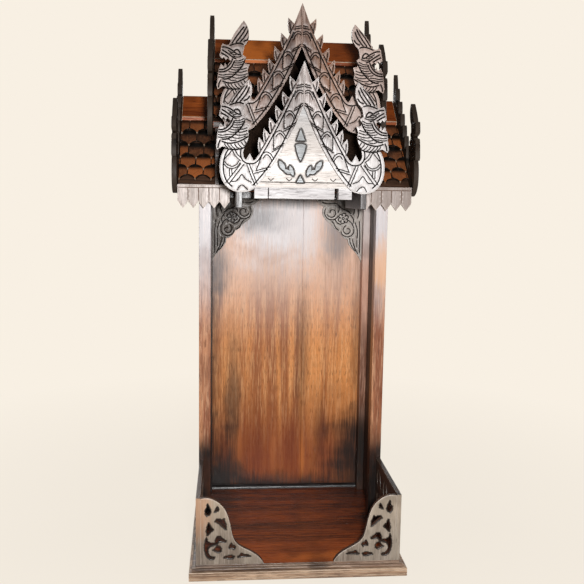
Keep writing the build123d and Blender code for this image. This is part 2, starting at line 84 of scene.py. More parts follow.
# ------ shader nodes
class Shader:
    """The nodes of a new material or world, and short names for adding more."""

    def __init__(self, owner):
        owner.use_nodes = True
        self.nodes = owner.node_tree.nodes
        self.links = owner.node_tree.links
        self.place = self.node("TexCoord", output="Object")

    def feed(self, socket, value):
        if isinstance(value, bpy.types.NodeSocket):
            self.links.new(value, socket)
        elif isinstance(value, (tuple, list)) and socket.type == "RGBA":
            socket.default_value = (*value, 1)
        else:
            socket.default_value = value

    def node(self, kind, inputs=(), output=0, **settings):
        node = self.nodes.new("ShaderNode" + kind)
        for key, value in settings.items():
            setattr(node, key, value)
        for key, value in dict(inputs).items():
            self.feed(node.inputs[key], value)
        return node.outputs[output]

    def stretch(self, scale, shift):
        """Object coordinates, scaled and moved."""
        return self.node("Mapping", {"Vector": self.place, "Location": shift, "Scale": scale})

    def noise(self, vector, scale, detail, roughness, distortion=0.0):
        return self.node("TexNoise", {"Vector": vector, "Scale": scale, "Detail": detail,
                                      "Roughness": roughness, "Distortion": distortion})

    def attribute(self, name):
        """A value that the mesh carries at its vertices."""
        return self.node("Attribute", attribute_name=name, output="Fac")

    def span(self, value, low, high, to_low=0.0, to_high=1.0):
        """The value's stretch from low to high, smoothly spread over the new one."""
        return self.node("MapRange", {"Value": value, "From Min": low, "From Max": high, "To Min": to_low,
                                      "To Max": to_high}, interpolation_type="SMOOTHSTEP")

    def math(self, operation, a, b):
        return self.node("Math", {0: a, 1: b}, operation=operation)

    def times(self, a, b):
        return self.math("MULTIPLY", a, b)

    def blend(self, factor, a, b):
        """The colour between a and b; the mix node's inputs 6 and 7 and its output 2 are its colours."""
        return self.node("Mix", {0: factor, 6: a, 7: b}, 2, data_type="RGBA")

    def height(self, axis):
        return self.node("SeparateXYZ", {0: self.place}, axis)

    def bump(self, value, strength, distance, normal=None):
        inputs = {"Height": value, "Strength": strength, "Distance": distance}
        if normal is not None:
            inputs["Normal"] = normal
        return self.node("Bump", inputs)


GRAIN = {"x": (0.05, 1, 1), "y": (1, 0.05, 1), "z": (1, 1, 0.05)}
FIBRE_SCALE = 420
PORE_SCALE = 1500
PATCH_SCALE = 14
PORE_SHADE = 0.35
STAIN_SHADE = 0.55


def wood(name, dark, mid, light, grain="z", shift=0.0, rings=26.0, gloss=(0.34, 0.55), specular=0.4,
         stain=0.5, films=(), spots=(), groove_and_shade=None, worn_and_highlight=None, tone=None, lip=None, lip_span=(0.36, 0.1),
         fibre=0.6):
    """Varnished teak: growth bands, fibres and pores along the grain, stain in patches.

    films are (colour, axis, low, high, share): a colour that grows from low to high along that axis.
    spots are (colour, centre, radii, share): a cloudy smear round a point; a radius of 0 is endless.
    The groove colour is left in carved lines and laid as painted shade round holes; the worn colour is that
    of rubbed edges, partly a painted highlight; tone is that of some shingles; lip is the darker colour a
    shingle takes towards its top, under the edge of the row above.
    """
    material = bpy.data.materials.new(name)
    make = Shader(material)
    along = make.stretch(GRAIN[grain], (shift, shift * 1.7, shift * 0.6))
    bands = make.noise(along, rings, 3, 0.6, 0.6)
    fibres = make.noise(along, FIBRE_SCALE, 4, 0.65)
    pores = make.noise(along, PORE_SCALE, 2, 0.5)
    patches = make.noise(make.place, PATCH_SCALE, 3, 0.5, 0.3)

    colour = make.blend(make.span(bands, 0.4, 0.6), dark, mid)
    if tone:
        colour = make.blend(make.attribute("tone"), colour, tone)
    colour = make.blend(make.times(make.span(fibres, 0.46, 0.64), fibre), colour, light)
    colour = make.blend(make.times(make.span(pores, 0.54, 0.64), 0.6), colour, [c * PORE_SHADE for c in dark])
    for film, axis, low, high, share in films:
        cover = make.times(make.span(make.height(axis), low, high), share)
        cover = make.times(cover, make.span(fibres, 0.2, 0.75, 0.75, 1.0))
        colour = make.blend(cover, colour, film)
    for smear, centre, radii, share in spots:
        shrink = tuple(1 / r if r else 0 for r in radii)
        near = make.stretch(shrink, tuple(-c * k for c, k in zip(centre, shrink)))
        gap = make.node("VectorMath", {0: near}, "Value", operation="LENGTH")
        gap = make.math("ADD", gap, make.span(patches, 0.25, 0.75, -0.35, 0.35))
        gap = make.math("ADD", gap, make.span(fibres, 0.3, 0.7, -0.2, 0.2))
        colour = make.blend(make.times(make.span(gap, 1.5, 0.25), share), colour, smear)
    if stain:
        cover = make.times(make.span(patches, 0.5, 0.7), stain)
        colour = make.blend(cover, colour, [c * STAIN_SHADE for c in dark])
    if lip:
        colour = make.blend(make.span(make.attribute("lip"), *lip_span), colour, lip)
    # the groove colour fills carved lines and lays painted shade round holes; the worn colour lightens rubbed
    # edges, partly as a painted highlight
    if groove_and_shade:
        carved_shaded_and_highlit = make.attribute("carving_shade_and_highlight")
        if worn_and_highlight:
            rubbed_and_highlit = make.times(make.span(carved_shaded_and_highlit, 0.0, -1.0), make.span(patches, 0.3, 0.6, 0.6, 1.0))
            colour = make.blend(rubbed_and_highlit, colour, worn_and_highlight)
        colour = make.blend(make.span(carved_shaded_and_highlit, 0.05, 0.55), colour, groove_and_shade)
    grain_height = make.math("SUBTRACT", fibres, make.times(make.span(pores, 0.56, 0.7), 0.5))
    surface = make.nodes["Principled BSDF"].inputs
    make.feed(surface["Base Color"], colour)
    make.feed(surface["Roughness"], make.span(fibres, 0.3, 0.7, *gloss))
    make.feed(surface["Specular IOR Level"], specular)
    make.feed(surface["Normal"], make.bump(grain_height, 0.35, 0.0004, make.bump(bands, 0.2, 0.001)))
    return material


def upright_spots(*smears):
    """Spots on an upright board, from (colour, x, z, width, height, share)."""
    return [(colour, (x, 0, z), (width, 0, height), share) for colour, x, z, width, height, share in smears]


def level_spots(*smears):
    """Spots on a level board, from (colour, x, y, width, depth, share)."""
    return [(colour, (x, y, 0), (width, depth, 0), share) for colour, x, y, width, depth, share in smears]


# near black: real soot in runs and joints, and painted shade in corners, creases and cast shadows
SOOT_AND_SHADE = (0.012, 0.009, 0.008)
RED_STREAK = (0.16, 0.025, 0.006)
GREY_SHADE = (0.1, 0.1, 0.11)
CARVED_GREY = wood(
    "carved_front", (0.11, 0.07, 0.057), (0.35, 0.285, 0.265), (0.7, 0.64, 0.61), rings=22,
    gloss=(0.34, 0.48), specular=0.6, stain=0.65, groove_and_shade=(0.006, 0.004, 0.003), worn_and_highlight=(0.95, 0.92, 0.9),
    # lighter to the right, and a painted highlight towards the feet
    films=[((0.5, 0.46, 0.45), "X", 0.01, 0.03, 0.4), ((0.56, 0.545, 0.54), "Z", 0.63, 0.54, 0.65)])
CARVED_BROWN = wood(
    "carved_rear", (0.06, 0.028, 0.018), (0.18, 0.1, 0.072), (0.4, 0.3, 0.25), rings=22, gloss=(0.36, 0.5),
    specular=0.5, stain=0.6, groove_and_shade=(0.006, 0.004, 0.003), worn_and_highlight=(0.66, 0.55, 0.49),
    films=[((0.4, 0.33, 0.3), "X", -0.055, -0.075, 0.55), ((0.36, 0.18, 0.1), "X", 0.0, 0.03, 0.52),
           ((0.5, 0.42, 0.39), "X", 0.04, 0.065, 0.55)])
CARVED_EDGE = wood("carved_side", (0.03, 0.017, 0.012), (0.055, 0.03, 0.02), (0.12, 0.075, 0.055), rings=22)
CARVED_DARK = wood(
    "carved_dark", (0.011, 0.007, 0.005), (0.022, 0.013, 0.008), (0.055, 0.034, 0.022), rings=22,
    gloss=(0.4, 0.6), specular=0.15, groove_and_shade=(0.004, 0.003, 0.002), worn_and_highlight=(0.06, 0.045, 0.035))
PANEL = wood(
    "back_wood", (0.34, 0.1, 0.022), (0.7, 0.27, 0.075), (0.92, 0.5, 0.22), rings=30, gloss=(0.34, 0.46),
    stain=0.2, fibre=0.4,
    # darker towards the bottom, and a painted highlight that lightens the top
    films=[((0.22, 0.035, 0.008), "Z", 0.22, 0.07, 0.85), ((0.74, 0.53, 0.43), "Z", 0.255, 0.415, 0.75)],
    spots=upright_spots(
        # light and dark streaks low down, and the flash's gleam high up
        ((0.68, 0.22, 0.05), 0.03, 0.07, 0.006, 0.04, 0.45),
        ((0.6, 0.18, 0.045), -0.076, 0.09, 0.006, 0.04, 0.4),
        ((0.6, 0.2, 0.06), -0.02, 0.08, 0.005, 0.04, 0.3),
        (RED_STREAK, 0.01, 0.1, 0.008, 0.05, 0.5),
        (RED_STREAK, -0.045, 0.09, 0.01, 0.05, 0.45),
        (RED_STREAK, 0.065, 0.1, 0.01, 0.05, 0.45),
        ((0.7, 0.71, 0.75), -0.015, 0.47, 0.08, 0.07, 0.7),
        # painted shade in the corners, along the foot and down both sides, and soot in upright runs
        (SOOT_AND_SHADE, -0.122, 0.03, 0.05, 0.1, 0.97),
        (SOOT_AND_SHADE, 0.125, 0.03, 0.055, 0.11, 0.97),
        (SOOT_AND_SHADE, 0, 0.012, 0.3, 0.028, 0.95),
        (SOOT_AND_SHADE, -0.089, 0.18, 0.014, 0.12, 0.65),
        (SOOT_AND_SHADE, 0.027, 0.24, 0.012, 0.11, 0.45),
        (SOOT_AND_SHADE, -0.13, 0.27, 0.02, 0.3, 0.75),
        (SOOT_AND_SHADE, 0.06, 0.12, 0.012, 0.06, 0.35),
        (SOOT_AND_SHADE, 0.122, 0.3, 0.012, 0.2, 0.45),
        # shade under the scroll corners and the ceiling
        (GREY_SHADE, -0.06, 0.485, 0.05, 0.03, 0.7),
        ((0.13, 0.12, 0.125), 0.085, 0.455, 0.025, 0.06, 0.65),
        (GREY_SHADE, -0.115, 0.4, 0.02, 0.05, 0.6),
        (SOOT_AND_SHADE, 0, 0.52, 0.3, 0.018, 0.6)))
POST = wood(
    "post_wood", (0.24, 0.075, 0.032), (0.48, 0.21, 0.1), (0.7, 0.4, 0.235), shift=0.31, rings=38,
    gloss=(0.3, 0.48), stain=0.35, fibre=0.45,
    # a painted highlight greys the tops; darker towards the bottom
    films=[((0.6, 0.62, 0.66), "Z", 0.3, 0.46, 0.85), ((0.008, 0.005, 0.004), "Z", 0.165, 0.115, 1.2)],
    spots=upright_spots(((0.7, 0.36, 0.17), 0.14, 0.41, 0.04, 0.042, 0.7)))
FRAME = wood(
    "frame_wood", (0.02, 0.014, 0.012), (0.045, 0.032, 0.03), (0.12, 0.1, 0.1), shift=0.52, rings=30,
    gloss=(0.3, 0.46), specular=0.5)
BATTEN = wood(
    "batten_wood", (0.16, 0.06, 0.03), (0.37, 0.17, 0.1), (0.6, 0.34, 0.23), shift=0.57, rings=30,
    gloss=(0.34, 0.5),
    # lighter upwards with a painted highlight at the top, darker towards the bottom, and painted shade on the
    # left batten
    films=[((0.62, 0.34, 0.24), "Z", 0.25, 0.36, 0.8), ((0.58, 0.56, 0.56), "Z", 0.38, 0.47, 0.8),
           ((0.012, 0.008, 0.006), "Z", 0.19, 0.12, 1.1), (SOOT_AND_SHADE, "X", -0.09, -0.12, 1.1)])
SIDE = wood(
    "side_wood", (0.09, 0.035, 0.018), (0.17, 0.075, 0.04), (0.28, 0.15, 0.09), shift=0.77, rings=30,
    gloss=(0.3, 0.46))
REAR = wood(
    "rear_wood", (0.15, 0.07, 0.04), (0.25, 0.13, 0.08), (0.36, 0.21, 0.14), shift=0.37, gloss=(0.45, 0.65),
    stain=0.3)
# near black: painted shade on the side walls' inner faces
SHADED_WALL = wood("inner_wall_painted_shade", (0.02, 0.01, 0.006), (0.045, 0.02, 0.011), (0.1, 0.05, 0.03), shift=0.83, rings=30)
FLOOR = wood(
    "floor_wood", (0.08, 0.014, 0.003), (0.25, 0.05, 0.01), (0.48, 0.115, 0.022), "x", shift=0.12, rings=34,
    gloss=(0.22, 0.38), stain=0.45, specular=0.38, films=[((0.42, 0.085, 0.012), "Y", -0.2, -0.27, 0.5)],
    spots=level_spots(
        # painted shade in the back right corner and beside both side walls, a dark band across the middle,
        # and a painted highlight near the front
        (SOOT_AND_SHADE, 0.12, -0.03, 0.05, 0.07, 0.55),
        (SOOT_AND_SHADE, -0.125, -0.1, 0.04, 0.15, 0.6),
        (SOOT_AND_SHADE, 0.135, -0.16, 0.03, 0.08, 0.8),
        ((0.035, 0.013, 0.007), -0.02, -0.165, 0.1, 0.018, 0.45),
        ((0.62, 0.17, 0.03), 0.035, -0.265, 0.06, 0.014, 0.5)))
BASE = wood(
    "base_wood", (0.14, 0.072, 0.04), (0.44, 0.285, 0.185), (0.74, 0.54, 0.38), "x", shift=0.71, rings=40,
    gloss=(0.32, 0.55), stain=0.65)
MOULDING = wood(
    "moulding_wood", (0.06, 0.032, 0.02), (0.24, 0.15, 0.1), (0.5, 0.37, 0.28), "x", shift=0.21, rings=40,
    gloss=(0.28, 0.45), stain=0.75)
# near black, for the bead along the floor's back edge
NEAR_BLACK = wood(
    "near_black_wood", (0.006, 0.005, 0.005), (0.014, 0.012, 0.012), (0.05, 0.048, 0.05), "x", shift=0.6,
    rings=40, gloss=(0.25, 0.4), specular=0.5)
# light edge wood: worn edges, lightened further as a painted highlight on ridge lips, valance edges and the
# plank's beads
WORN_AND_HIGHLIGHT = wood(
    "worn_edge_and_highlight", (0.36, 0.25, 0.17), (0.52, 0.38, 0.27), (0.7, 0.56, 0.43), "x", shift=0.44, rings=40,
    gloss=(0.38, 0.6), stain=0.2)
RIDGE = wood(
    "ridge_wood", (0.16, 0.03, 0.006), (0.42, 0.095, 0.016), (0.58, 0.16, 0.035), "x", shift=0.27,
    gloss=(0.24, 0.4), specular=0.25, stain=0.6, fibre=0.35,
    films=[((0.1, 0.016, 0.003), "X", 0.02, 0.08, 0.5)],
    spots=upright_spots(((0.66, 0.18, 0.03), -0.055, 0.745, 0.045, 0.03, 0.8)))
SHINGLE = wood(
    "shingle_wood", (0.06, 0.023, 0.011), (0.16, 0.055, 0.022), (0.34, 0.14, 0.06), "y", shift=0.9, rings=60,
    gloss=(0.26, 0.42), stain=0.3, tone=(0.5, 0.14, 0.035), fibre=0.4, lip=(0.004, 0.003, 0.002),
    lip_span=(0.5, 0.2))
# side faces of the shingles: dark, with a painted highlight near each tip
SHINGLE_TIP = wood(
    "shingle_tip", (0.35, 0.22, 0.13), (0.55, 0.4, 0.28), (0.75, 0.6, 0.48), "y", shift=0.5, rings=60,
    gloss=(0.3, 0.5), stain=0.1, lip=(0.01, 0.006, 0.004), lip_span=(0.99, 0.9))
ROOF = wood(
    "roof_board", (0.03, 0.015, 0.009), (0.062, 0.03, 0.018), (0.13, 0.066, 0.04), "x", shift=0.15, rings=30,
    specular=0.35)
# near black and matte: painted shade for the boards in the porch's gaps and behind its gables
SHADED_ROOF = wood(
    "roof_board_painted_shade", (0.008, 0.005, 0.004), (0.016, 0.009, 0.006), (0.038, 0.022, 0.014), "y", shift=0.45,
    rings=30, specular=0.02, gloss=(0.85, 0.95))
FRET = wood(
    "fret_wood", (0.17, 0.13, 0.1), (0.3, 0.25, 0.2), (0.46, 0.39, 0.33), shift=0.63, gloss=(0.3, 0.5),
    fibre=0.4, films=[((0.52, 0.41, 0.3), "Z", 0.04, 0.12, 0.5)], groove_and_shade=(0.02, 0.014, 0.01),
    worn_and_highlight=(0.6, 0.52, 0.45), spots=upright_spots(((0.55, 0.22, 0.08), -0.137, 0.1, 0.014, 0.045, 0.35)))
PANEL_FRET = wood(
    "side_fret_wood", (0.022, 0.013, 0.009), (0.045, 0.026, 0.018), (0.1, 0.06, 0.04), "y", shift=0.3,
    rings=30, gloss=(0.3, 0.5), stain=0.4)
VALANCE = wood(
    "valance_wood", (0.42, 0.34, 0.3), (0.66, 0.57, 0.53), (0.8, 0.74, 0.7), shift=0.4, rings=40,
    gloss=(0.35, 0.55), stain=0.2, fibre=0.4, groove_and_shade=(0.2, 0.13, 0.1), worn_and_highlight=(0.8, 0.72, 0.67),
    films=[((0.2, 0.15, 0.13), "X", 0.09, 0.13, 0.72)])
PEDIMENT = wood(
    "pediment_wood", (0.5, 0.44, 0.4), (0.8, 0.76, 0.73), (0.92, 0.89, 0.86), "x", shift=0.1, rings=40,
    gloss=(0.36, 0.55), stain=0.3, fibre=0.4, groove_and_shade=(0.03, 0.022, 0.018), worn_and_highlight=(0.85, 0.83, 0.82),
    # painted shade towards the top, under the gable boards
    films=[((0.2, 0.22, 0.24), "Z", 0.575, 0.64, 0.85)])
BEAM = wood(
    "beam_wood", (0.4, 0.37, 0.37), (0.68, 0.66, 0.66), (0.84, 0.82, 0.82), "x", shift=0.25, rings=40,
    gloss=(0.36, 0.55), stain=0.3, fibre=0.4)
RECESS = wood(
    "recess_wood", (0.22, 0.22, 0.22), (0.38, 0.4, 0.41), (0.56, 0.58, 0.59), "x", shift=0.6, rings=40,
    stain=0.6)
SPANDREL = wood(
    "spandrel_wood", (0.075, 0.055, 0.045), (0.17, 0.15, 0.135), (0.36, 0.33, 0.31), shift=0.2, rings=30,
    gloss=(0.3, 0.5), groove_and_shade=(0.02, 0.014, 0.012), worn_and_highlight=(0.8, 0.76, 0.72),
    films=[((0.62, 0.56, 0.51), "X", 0.0, 0.03, 0.55)],
    # painted shadows of the porch's side rails and end blocks at the top
    spots=upright_spots((SOOT_AND_SHADE, 0.1, 0.505, 0.03, 0.016, 0.8), (SOOT_AND_SHADE, -0.095, 0.49, 0.02, 0.02, 0.5)))

SLOTS = {part["node"]: part["material_slot"] for part in frame["record"]["subparts"]}


# ------ mesh helpers
SAME_PLACE = 1e-6
FLAT_ANGLE = radians(1)
EDGE_ANGLE = radians(30)


def welded(node):
    """The CAD node's mesh with its split vertices joined."""
    mesh = bmesh.new()
    mesh.from_mesh(frame["nodes"][node].data)
    bmesh.ops.remove_doubles(mesh, verts=mesh.verts, dist=SAME_PLACE)
    return mesh


def turn_outward(mesh):
    bmesh.ops.recalc_face_normals(mesh, faces=mesh.faces)


def split_wide(mesh):
    """Cuts the faces of more than four corners into triangles."""
    bmesh.ops.triangulate(mesh, faces=[f for f in mesh.faces if len(f.verts) > 4])


def new_object(name, mesh, materials):
    """Puts the bmesh into the scene as an object."""
    data = bpy.data.meshes.new(name)
    mesh.to_mesh(data)
    mesh.free()
    for material in materials:
        data.materials.append(material)
    obj = bpy.data.objects.new(name, data)
    scene.collection.objects.link(obj)
    return obj


def finish_piece(name, mesh, materials, slot, *nodes, smooth=35):
    """Turns a bmesh into an object that rides on the root body; edges over smooth degrees stay sharp."""
    obj = new_object(name, mesh, materials)
    for polygon in obj.data.polygons:
        polygon.use_smooth = True
    obj.data.set_sharp_from_angle(angle=radians(smooth))
    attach(obj, "root")
    if nodes:
        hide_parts(*nodes)
    return obj


def softened(node, face, edge, width):
    """The CAD node with its edges worn round by width mm, as hand-sanded boards have."""
    mesh = welded(node)
    bmesh.ops.dissolve_limit(mesh, angle_limit=FLAT_ANGLE, verts=mesh.verts, edges=mesh.edges)
    sharp = [e for e in mesh.edges if len(e.link_faces) == 2 and e.calc_face_angle() > EDGE_ANGLE]
    bmesh.ops.bevel(mesh, geom=sharp, offset=width * MM, offset_type="OFFSET", segments=2, profile=0.6,
                    affect="EDGES", clamp_overlap=True, material=1)
    split_wide(mesh)
    obj = finish_piece(node + "_piece", mesh, (face, edge), SLOTS[node], node)
    flat = obj.modifiers.new("flat_faces", "WEIGHTED_NORMAL")
    flat.weight = 100
    flat.keep_sharp = True
    return obj


# ------ plain boards
# (face, edge, mm of worn edge, nodes)
PLAIN = (
    (BATTEN, BATTEN, 0.9, "back_battens"),
    (ROOF, ROOF, 0.5, "ceiling_board"),
    (FRAME, FRAME, 0.6, "front_lintel"),
    (POST, POST, 0.8, "front_post_left", "front_post_right"),
    (ROOF, RIDGE, 0.6, "lower_eave_board", "upper_eave_boards"),
    (RIDGE, WORN_AND_HIGHLIGHT, 0.8, "lower_ridge_boards", "upper_ridge_board"),
    (REAR, REAR, 0.5, "upper_back_board"),
    # near black: painted shade on the boards inside the porch
    (SHADED_ROOF, SHADED_ROOF, 0.5, "upper_front_boards"),
    (ROOF, ROOF, 0.5, "upper_gable_wall_left", "upper_gable_wall_right", "lower_roof_board",
     "upper_roof_board"),
    # near black: painted shade on the porch roofs and the rear pediment, in the gaps between the gables
    (SHADED_ROOF, SHADED_ROOF, 0.5, "front_porch_roof_left", "front_porch_roof_right",
     "rear_porch_roof_left", "rear_porch_roof_right", "rear_pediment"),
    (BEAM, BEAM, 0.7, "porch_beam", "porch_end_blocks"),
    (FRAME, FRAME, 0.7, "porch_side_rails"),
    (PANEL_FRET, FRET, 0.5, "side_panel_left", "side_panel_right"),
)
SIDES = (("left", -1), ("right", 1))
for face, edge, width, *nodes in PLAIN:
    for node in nodes:
        softened(node, face, edge, width)
for side, sign in SIDES:
    for polygon in bpy.data.objects[f"side_panel_{side}_piece"].data.polygons:
        if polygon.normal.y < -0.5 and polygon.center.y < -0.25:
            polygon.material_index = 1
    # outer faces take the side wood, inner faces the near-black wood of painted shade
    for polygon in softened(f"side_wall_{side}", SIDE, SHADED_WALL, 0.6).data.polygons:
        polygon.material_index = int(polygon.normal.x * sign < -0.5)
floor_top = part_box("floor_board")[1][2]
for polygon in softened("floor_board", FLOOR, MOULDING, 0.9).data.polygons:
    if polygon.center.z < floor_top - 0.0003 or abs(polygon.normal.z) < 0.9:
        polygon.material_index = 1


# ------ carving
CUT_STEP = 1.1  # mm between the points along a cut
RIM_STEP = 1.2  # mm between the points along the outline
RIM_GAP = 0.25  # mm that a cut's points keep from the outline
ROW_RISE = 0.866  # height of a row in a grid of equal-sided triangles, per pitch
ROUNDING = 0.45  # mm that the face falls at its outline
# wear along the outline and beside the cuts, partly a painted highlight: strength, and reach in mm
RIM_WEAR_AND_HIGHLIGHT, RIM_WEAR_AND_HIGHLIGHT_WIDTH = 0.55, 1.3
CUT_WEAR_AND_HIGHLIGHT, CUT_WEAR_AND_HIGHLIGHT_WIDTH = 0.8, 0.9
SWELL_WIDTH = 3.2  # mm from a cut or the outline to the full swell
GROOVE_WIDTH = 0.62  # how far a groove's stain reaches from its middle, per width
REAR_FLAT_ANGLE = radians(0.5)


def curve_point(t, a, b, c):
    """The point at t of a quadratic curve from a to c, pulled by b."""
    return tuple((1 - t) ** 2 * p + 2 * t * (1 - t) * q + t * t * r for p, q, r in zip(a, b, c))


def bezier(a, b, c, count=14):
    """Points of that curve, in count steps."""
    return [curve_point(step / count, a, b, c) for step in range(count + 1)]


def smooth_line(points):
    """A cubic curve through the points, in steps of about a millimetre."""
    points = [Vector(p) for p in points]
    if len(points) == 2:
        count = max(1, round((points[1] - points[0]).length / CUT_STEP))
        return [tuple(points[0].lerp(points[1], i / count)) for i in range(count + 1)]
    padded = [2 * points[0] - points[1], *points, 2 * points[-1] - points[-2]]
    line = [tuple(points[0])]
    for p, q, r, s in zip(padded, padded[1:], padded[2:], padded[3:]):
        count = max(1, round((r - q).length / CUT_STEP))
        for i in range(1, count + 1):
            t = i / count
            line.append(tuple(0.5 * (2 * q + (r - p) * t + (2 * p - 5 * q + 4 * r - s) * t * t
                                     + (3 * q - p - 3 * r + s) * t ** 3)))
    return line


def beside(line, offset):
    """The line moved sideways, to its right when offset is positive."""
    line = [Vector(p) for p in line]
    moved = []
    for index, point in enumerate(line):
        course = line[min(index + 1, len(line) - 1)] - line[max(index - 1, 0)]
        course.normalize()
        moved.append((point.x + course.y * offset, point.y - course.x * offset))
    return moved


def sides(loop):
    """The sides of a closed loop, each as its two ends."""
    return zip(loop, loop[1:] + loop[:1])


def face_loops(node, axis, sign):
    """Outline loops of the CAD node's flat face on that side, as 2-D points in mm, and the face's level."""
    mesh = welded(node)
    across = [i for i in range(3) if i != axis]
    level = (max if sign > 0 else min)(v.co[axis] for v in mesh.verts)
    # a dict, not a set, so that every run takes the faces in one order
    faces = dict.fromkeys(f for f in mesh.faces if all(abs(v.co[axis] - level) < 1e-5 for v in f.verts))
    rim = {}
    for f in faces:
        for loop in f.loops:
            if sum(g in faces for g in loop.edge.link_faces) == 1:
                rim[loop.vert] = loop.link_loop_next.vert
    loops = []
    while rim:
        start, vert = rim.popitem()
        loop = [start]
        while vert != start:
            loop.append(vert)
            vert = rim.pop(vert)
        loops.append([(v.co[across[0]] / MM, v.co[across[1]] / MM) for v in loop])
    mesh.free()
    return loops, level / MM


def inside(points, loops):
    """Which of the points lie inside the outline and outside its holes."""
    hit = np.zeros(len(points), bool)
    for loop in loops:
        a = np.array(loop)
        b = np.roll(a, -1, axis=0)
        for (ax, ay), (bx, by) in zip(a, b):
            if ay == by:
                continue
            crosses = (ay > points[:, 1]) != (by > points[:, 1])
            hit ^= crosses & (points[:, 0] < (bx - ax) * (points[:, 1] - ay) / (by - ay) + ax)
    return hit


def distance(points, segments):
    """Distance from each point to the nearest of the segments, and which one it is."""
    best = np.full(len(points), 1e9)
    which = np.zeros(len(points), int)
    for index, (ax, ay, bx, by) in enumerate(segments):
        dx, dy = bx - ax, by - ay
        share = ((points[:, 0] - ax) * dx + (points[:, 1] - ay) * dy) / max(dx * dx + dy * dy, 1e-9)
        share = np.clip(share, 0, 1)
        gap = np.hypot(points[:, 0] - ax - share * dx, points[:, 1] - ay - share * dy)
        nearer = gap < best
        best[nearer] = gap[nearer]
        which[nearer] = index
    return best, which


def face_points(loops, rim, lines, cuts, sizes, pitch, round_over):
    """Points of the carved face and the edges among them: outline, cuts, rounded rim and a grid between."""
    verts, edges = [], []
    for loop in loops:
        start = len(verts)
        verts.extend(loop)
        edges.extend((start + i, start + (i + 1) % len(loop)) for i in range(len(loop)))
    for points, width, _ in lines:
        for offset in (0, width / 2, -width / 2):
            line = beside(points, offset) if offset else points
            kept = (distance(np.array(line), rim)[0] > RIM_GAP) & inside(np.array(line), loops)
            for index, point in enumerate(line):
                if kept[index]:
                    if index and kept[index - 1]:
                        edges.append((len(verts) - 1, len(verts)))
                    verts.append(point)
    ring = []
    for loop in loops:
        path = []
        for a, b in sides(loop):
            count = max(1, round(dist(a, b) / RIM_STEP))
            path.extend((a[0] + (b[0] - a[0]) * i / count, a[1] + (b[1] - a[1]) * i / count)
                        for i in range(count))
        ring.extend(beside(path, -round_over))
        ring.extend(beside(path, round_over))
    low = np.array([p for loop in loops for p in loop]).min(0)
    high = np.array([p for loop in loops for p in loop]).max(0)
    grid = np.array([(low[0] + (i + 0.5 * (j % 2)) * pitch, low[1] + j * pitch * ROW_RISE)
                     for i in range(int((high[0] - low[0]) / pitch) + 2)
                     for j in range(int((high[1] - low[1]) / (pitch * ROW_RISE)) + 2)])
    for extra, rim_gap in ((np.array(ring), round_over * 0.8), (grid, round_over + 0.5)):
        extra = extra[inside(extra, loops)]
        extra = extra[distance(extra, rim)[0] > rim_gap]
        if len(cuts):
            gap, which = distance(extra, cuts)
            extra = extra[gap > sizes[which, 0] / 2 + 0.3]
        verts.extend(map(tuple, extra))
    return verts, edges


def relief(flat, loops, rim, cuts, sizes, crown, round_over, hole_shade):
    """How deep each point lies under the face in mm, and its tone: grooves and painted shade round holes
    above 0, worn edges with a painted highlight below.
    """
    rim_gap = distance(flat, rim)[0]
    drop = np.where(rim_gap < round_over, ROUNDING * (1 - rim_gap / round_over) ** 2, 0)
    # wear along the outline, partly a painted highlight
    wear_and_highlight = RIM_WEAR_AND_HIGHLIGHT * np.clip(1 - rim_gap / RIM_WEAR_AND_HIGHLIGHT_WIDTH, 0, 1)
    groove_and_shade = np.zeros(len(flat))
    nearest = np.full(len(flat), 1e9)
    for cut, (width, depth) in zip(cuts, sizes):
        gap = distance(flat, [cut])[0]
        drop = np.maximum(drop, depth * np.clip(1 - gap / (width / 2), 0, 1))
        groove_and_shade = np.maximum(groove_and_shade, np.clip(1 - gap / (width * GROOVE_WIDTH), 0, 1))
        nearest = np.minimum(nearest, gap - width / 2)
    if len(cuts):
        # wear beside the cuts, partly a painted highlight on their shoulders
        wear_and_highlight = np.maximum(wear_and_highlight, CUT_WEAR_AND_HIGHLIGHT * np.clip(1 - np.abs(nearest) / CUT_WEAR_AND_HIGHLIGHT_WIDTH, 0, 1))
        swell = np.clip(np.minimum(nearest, rim_gap) / SWELL_WIDTH, 0, 1)
        drop = drop + crown * (1 - swell * swell * (3 - 2 * swell))
    # painted shade on the face round the holes, kept with the grooves
    if hole_shade:
        outline = max(loops, key=lambda loop: np.ptp(np.array(loop)[:, 0]))
        holes = [(*a, *b) for loop in loops if loop is not outline for a, b in sides(loop)]
        groove_and_shade = np.maximum(groove_and_shade, np.clip(1.3 - distance(flat, holes)[0] / hole_shade, 0, 1))
    return drop, np.where(groove_and_shade > 0.05, groove_and_shade, -wear_and_highlight)


def directed(triangles):
    """The sides of the triangles as pairs of ends, in the order round each triangle."""
    return {(f[i], f[(i + 1) % 3]) for f in triangles for i in range(3)}


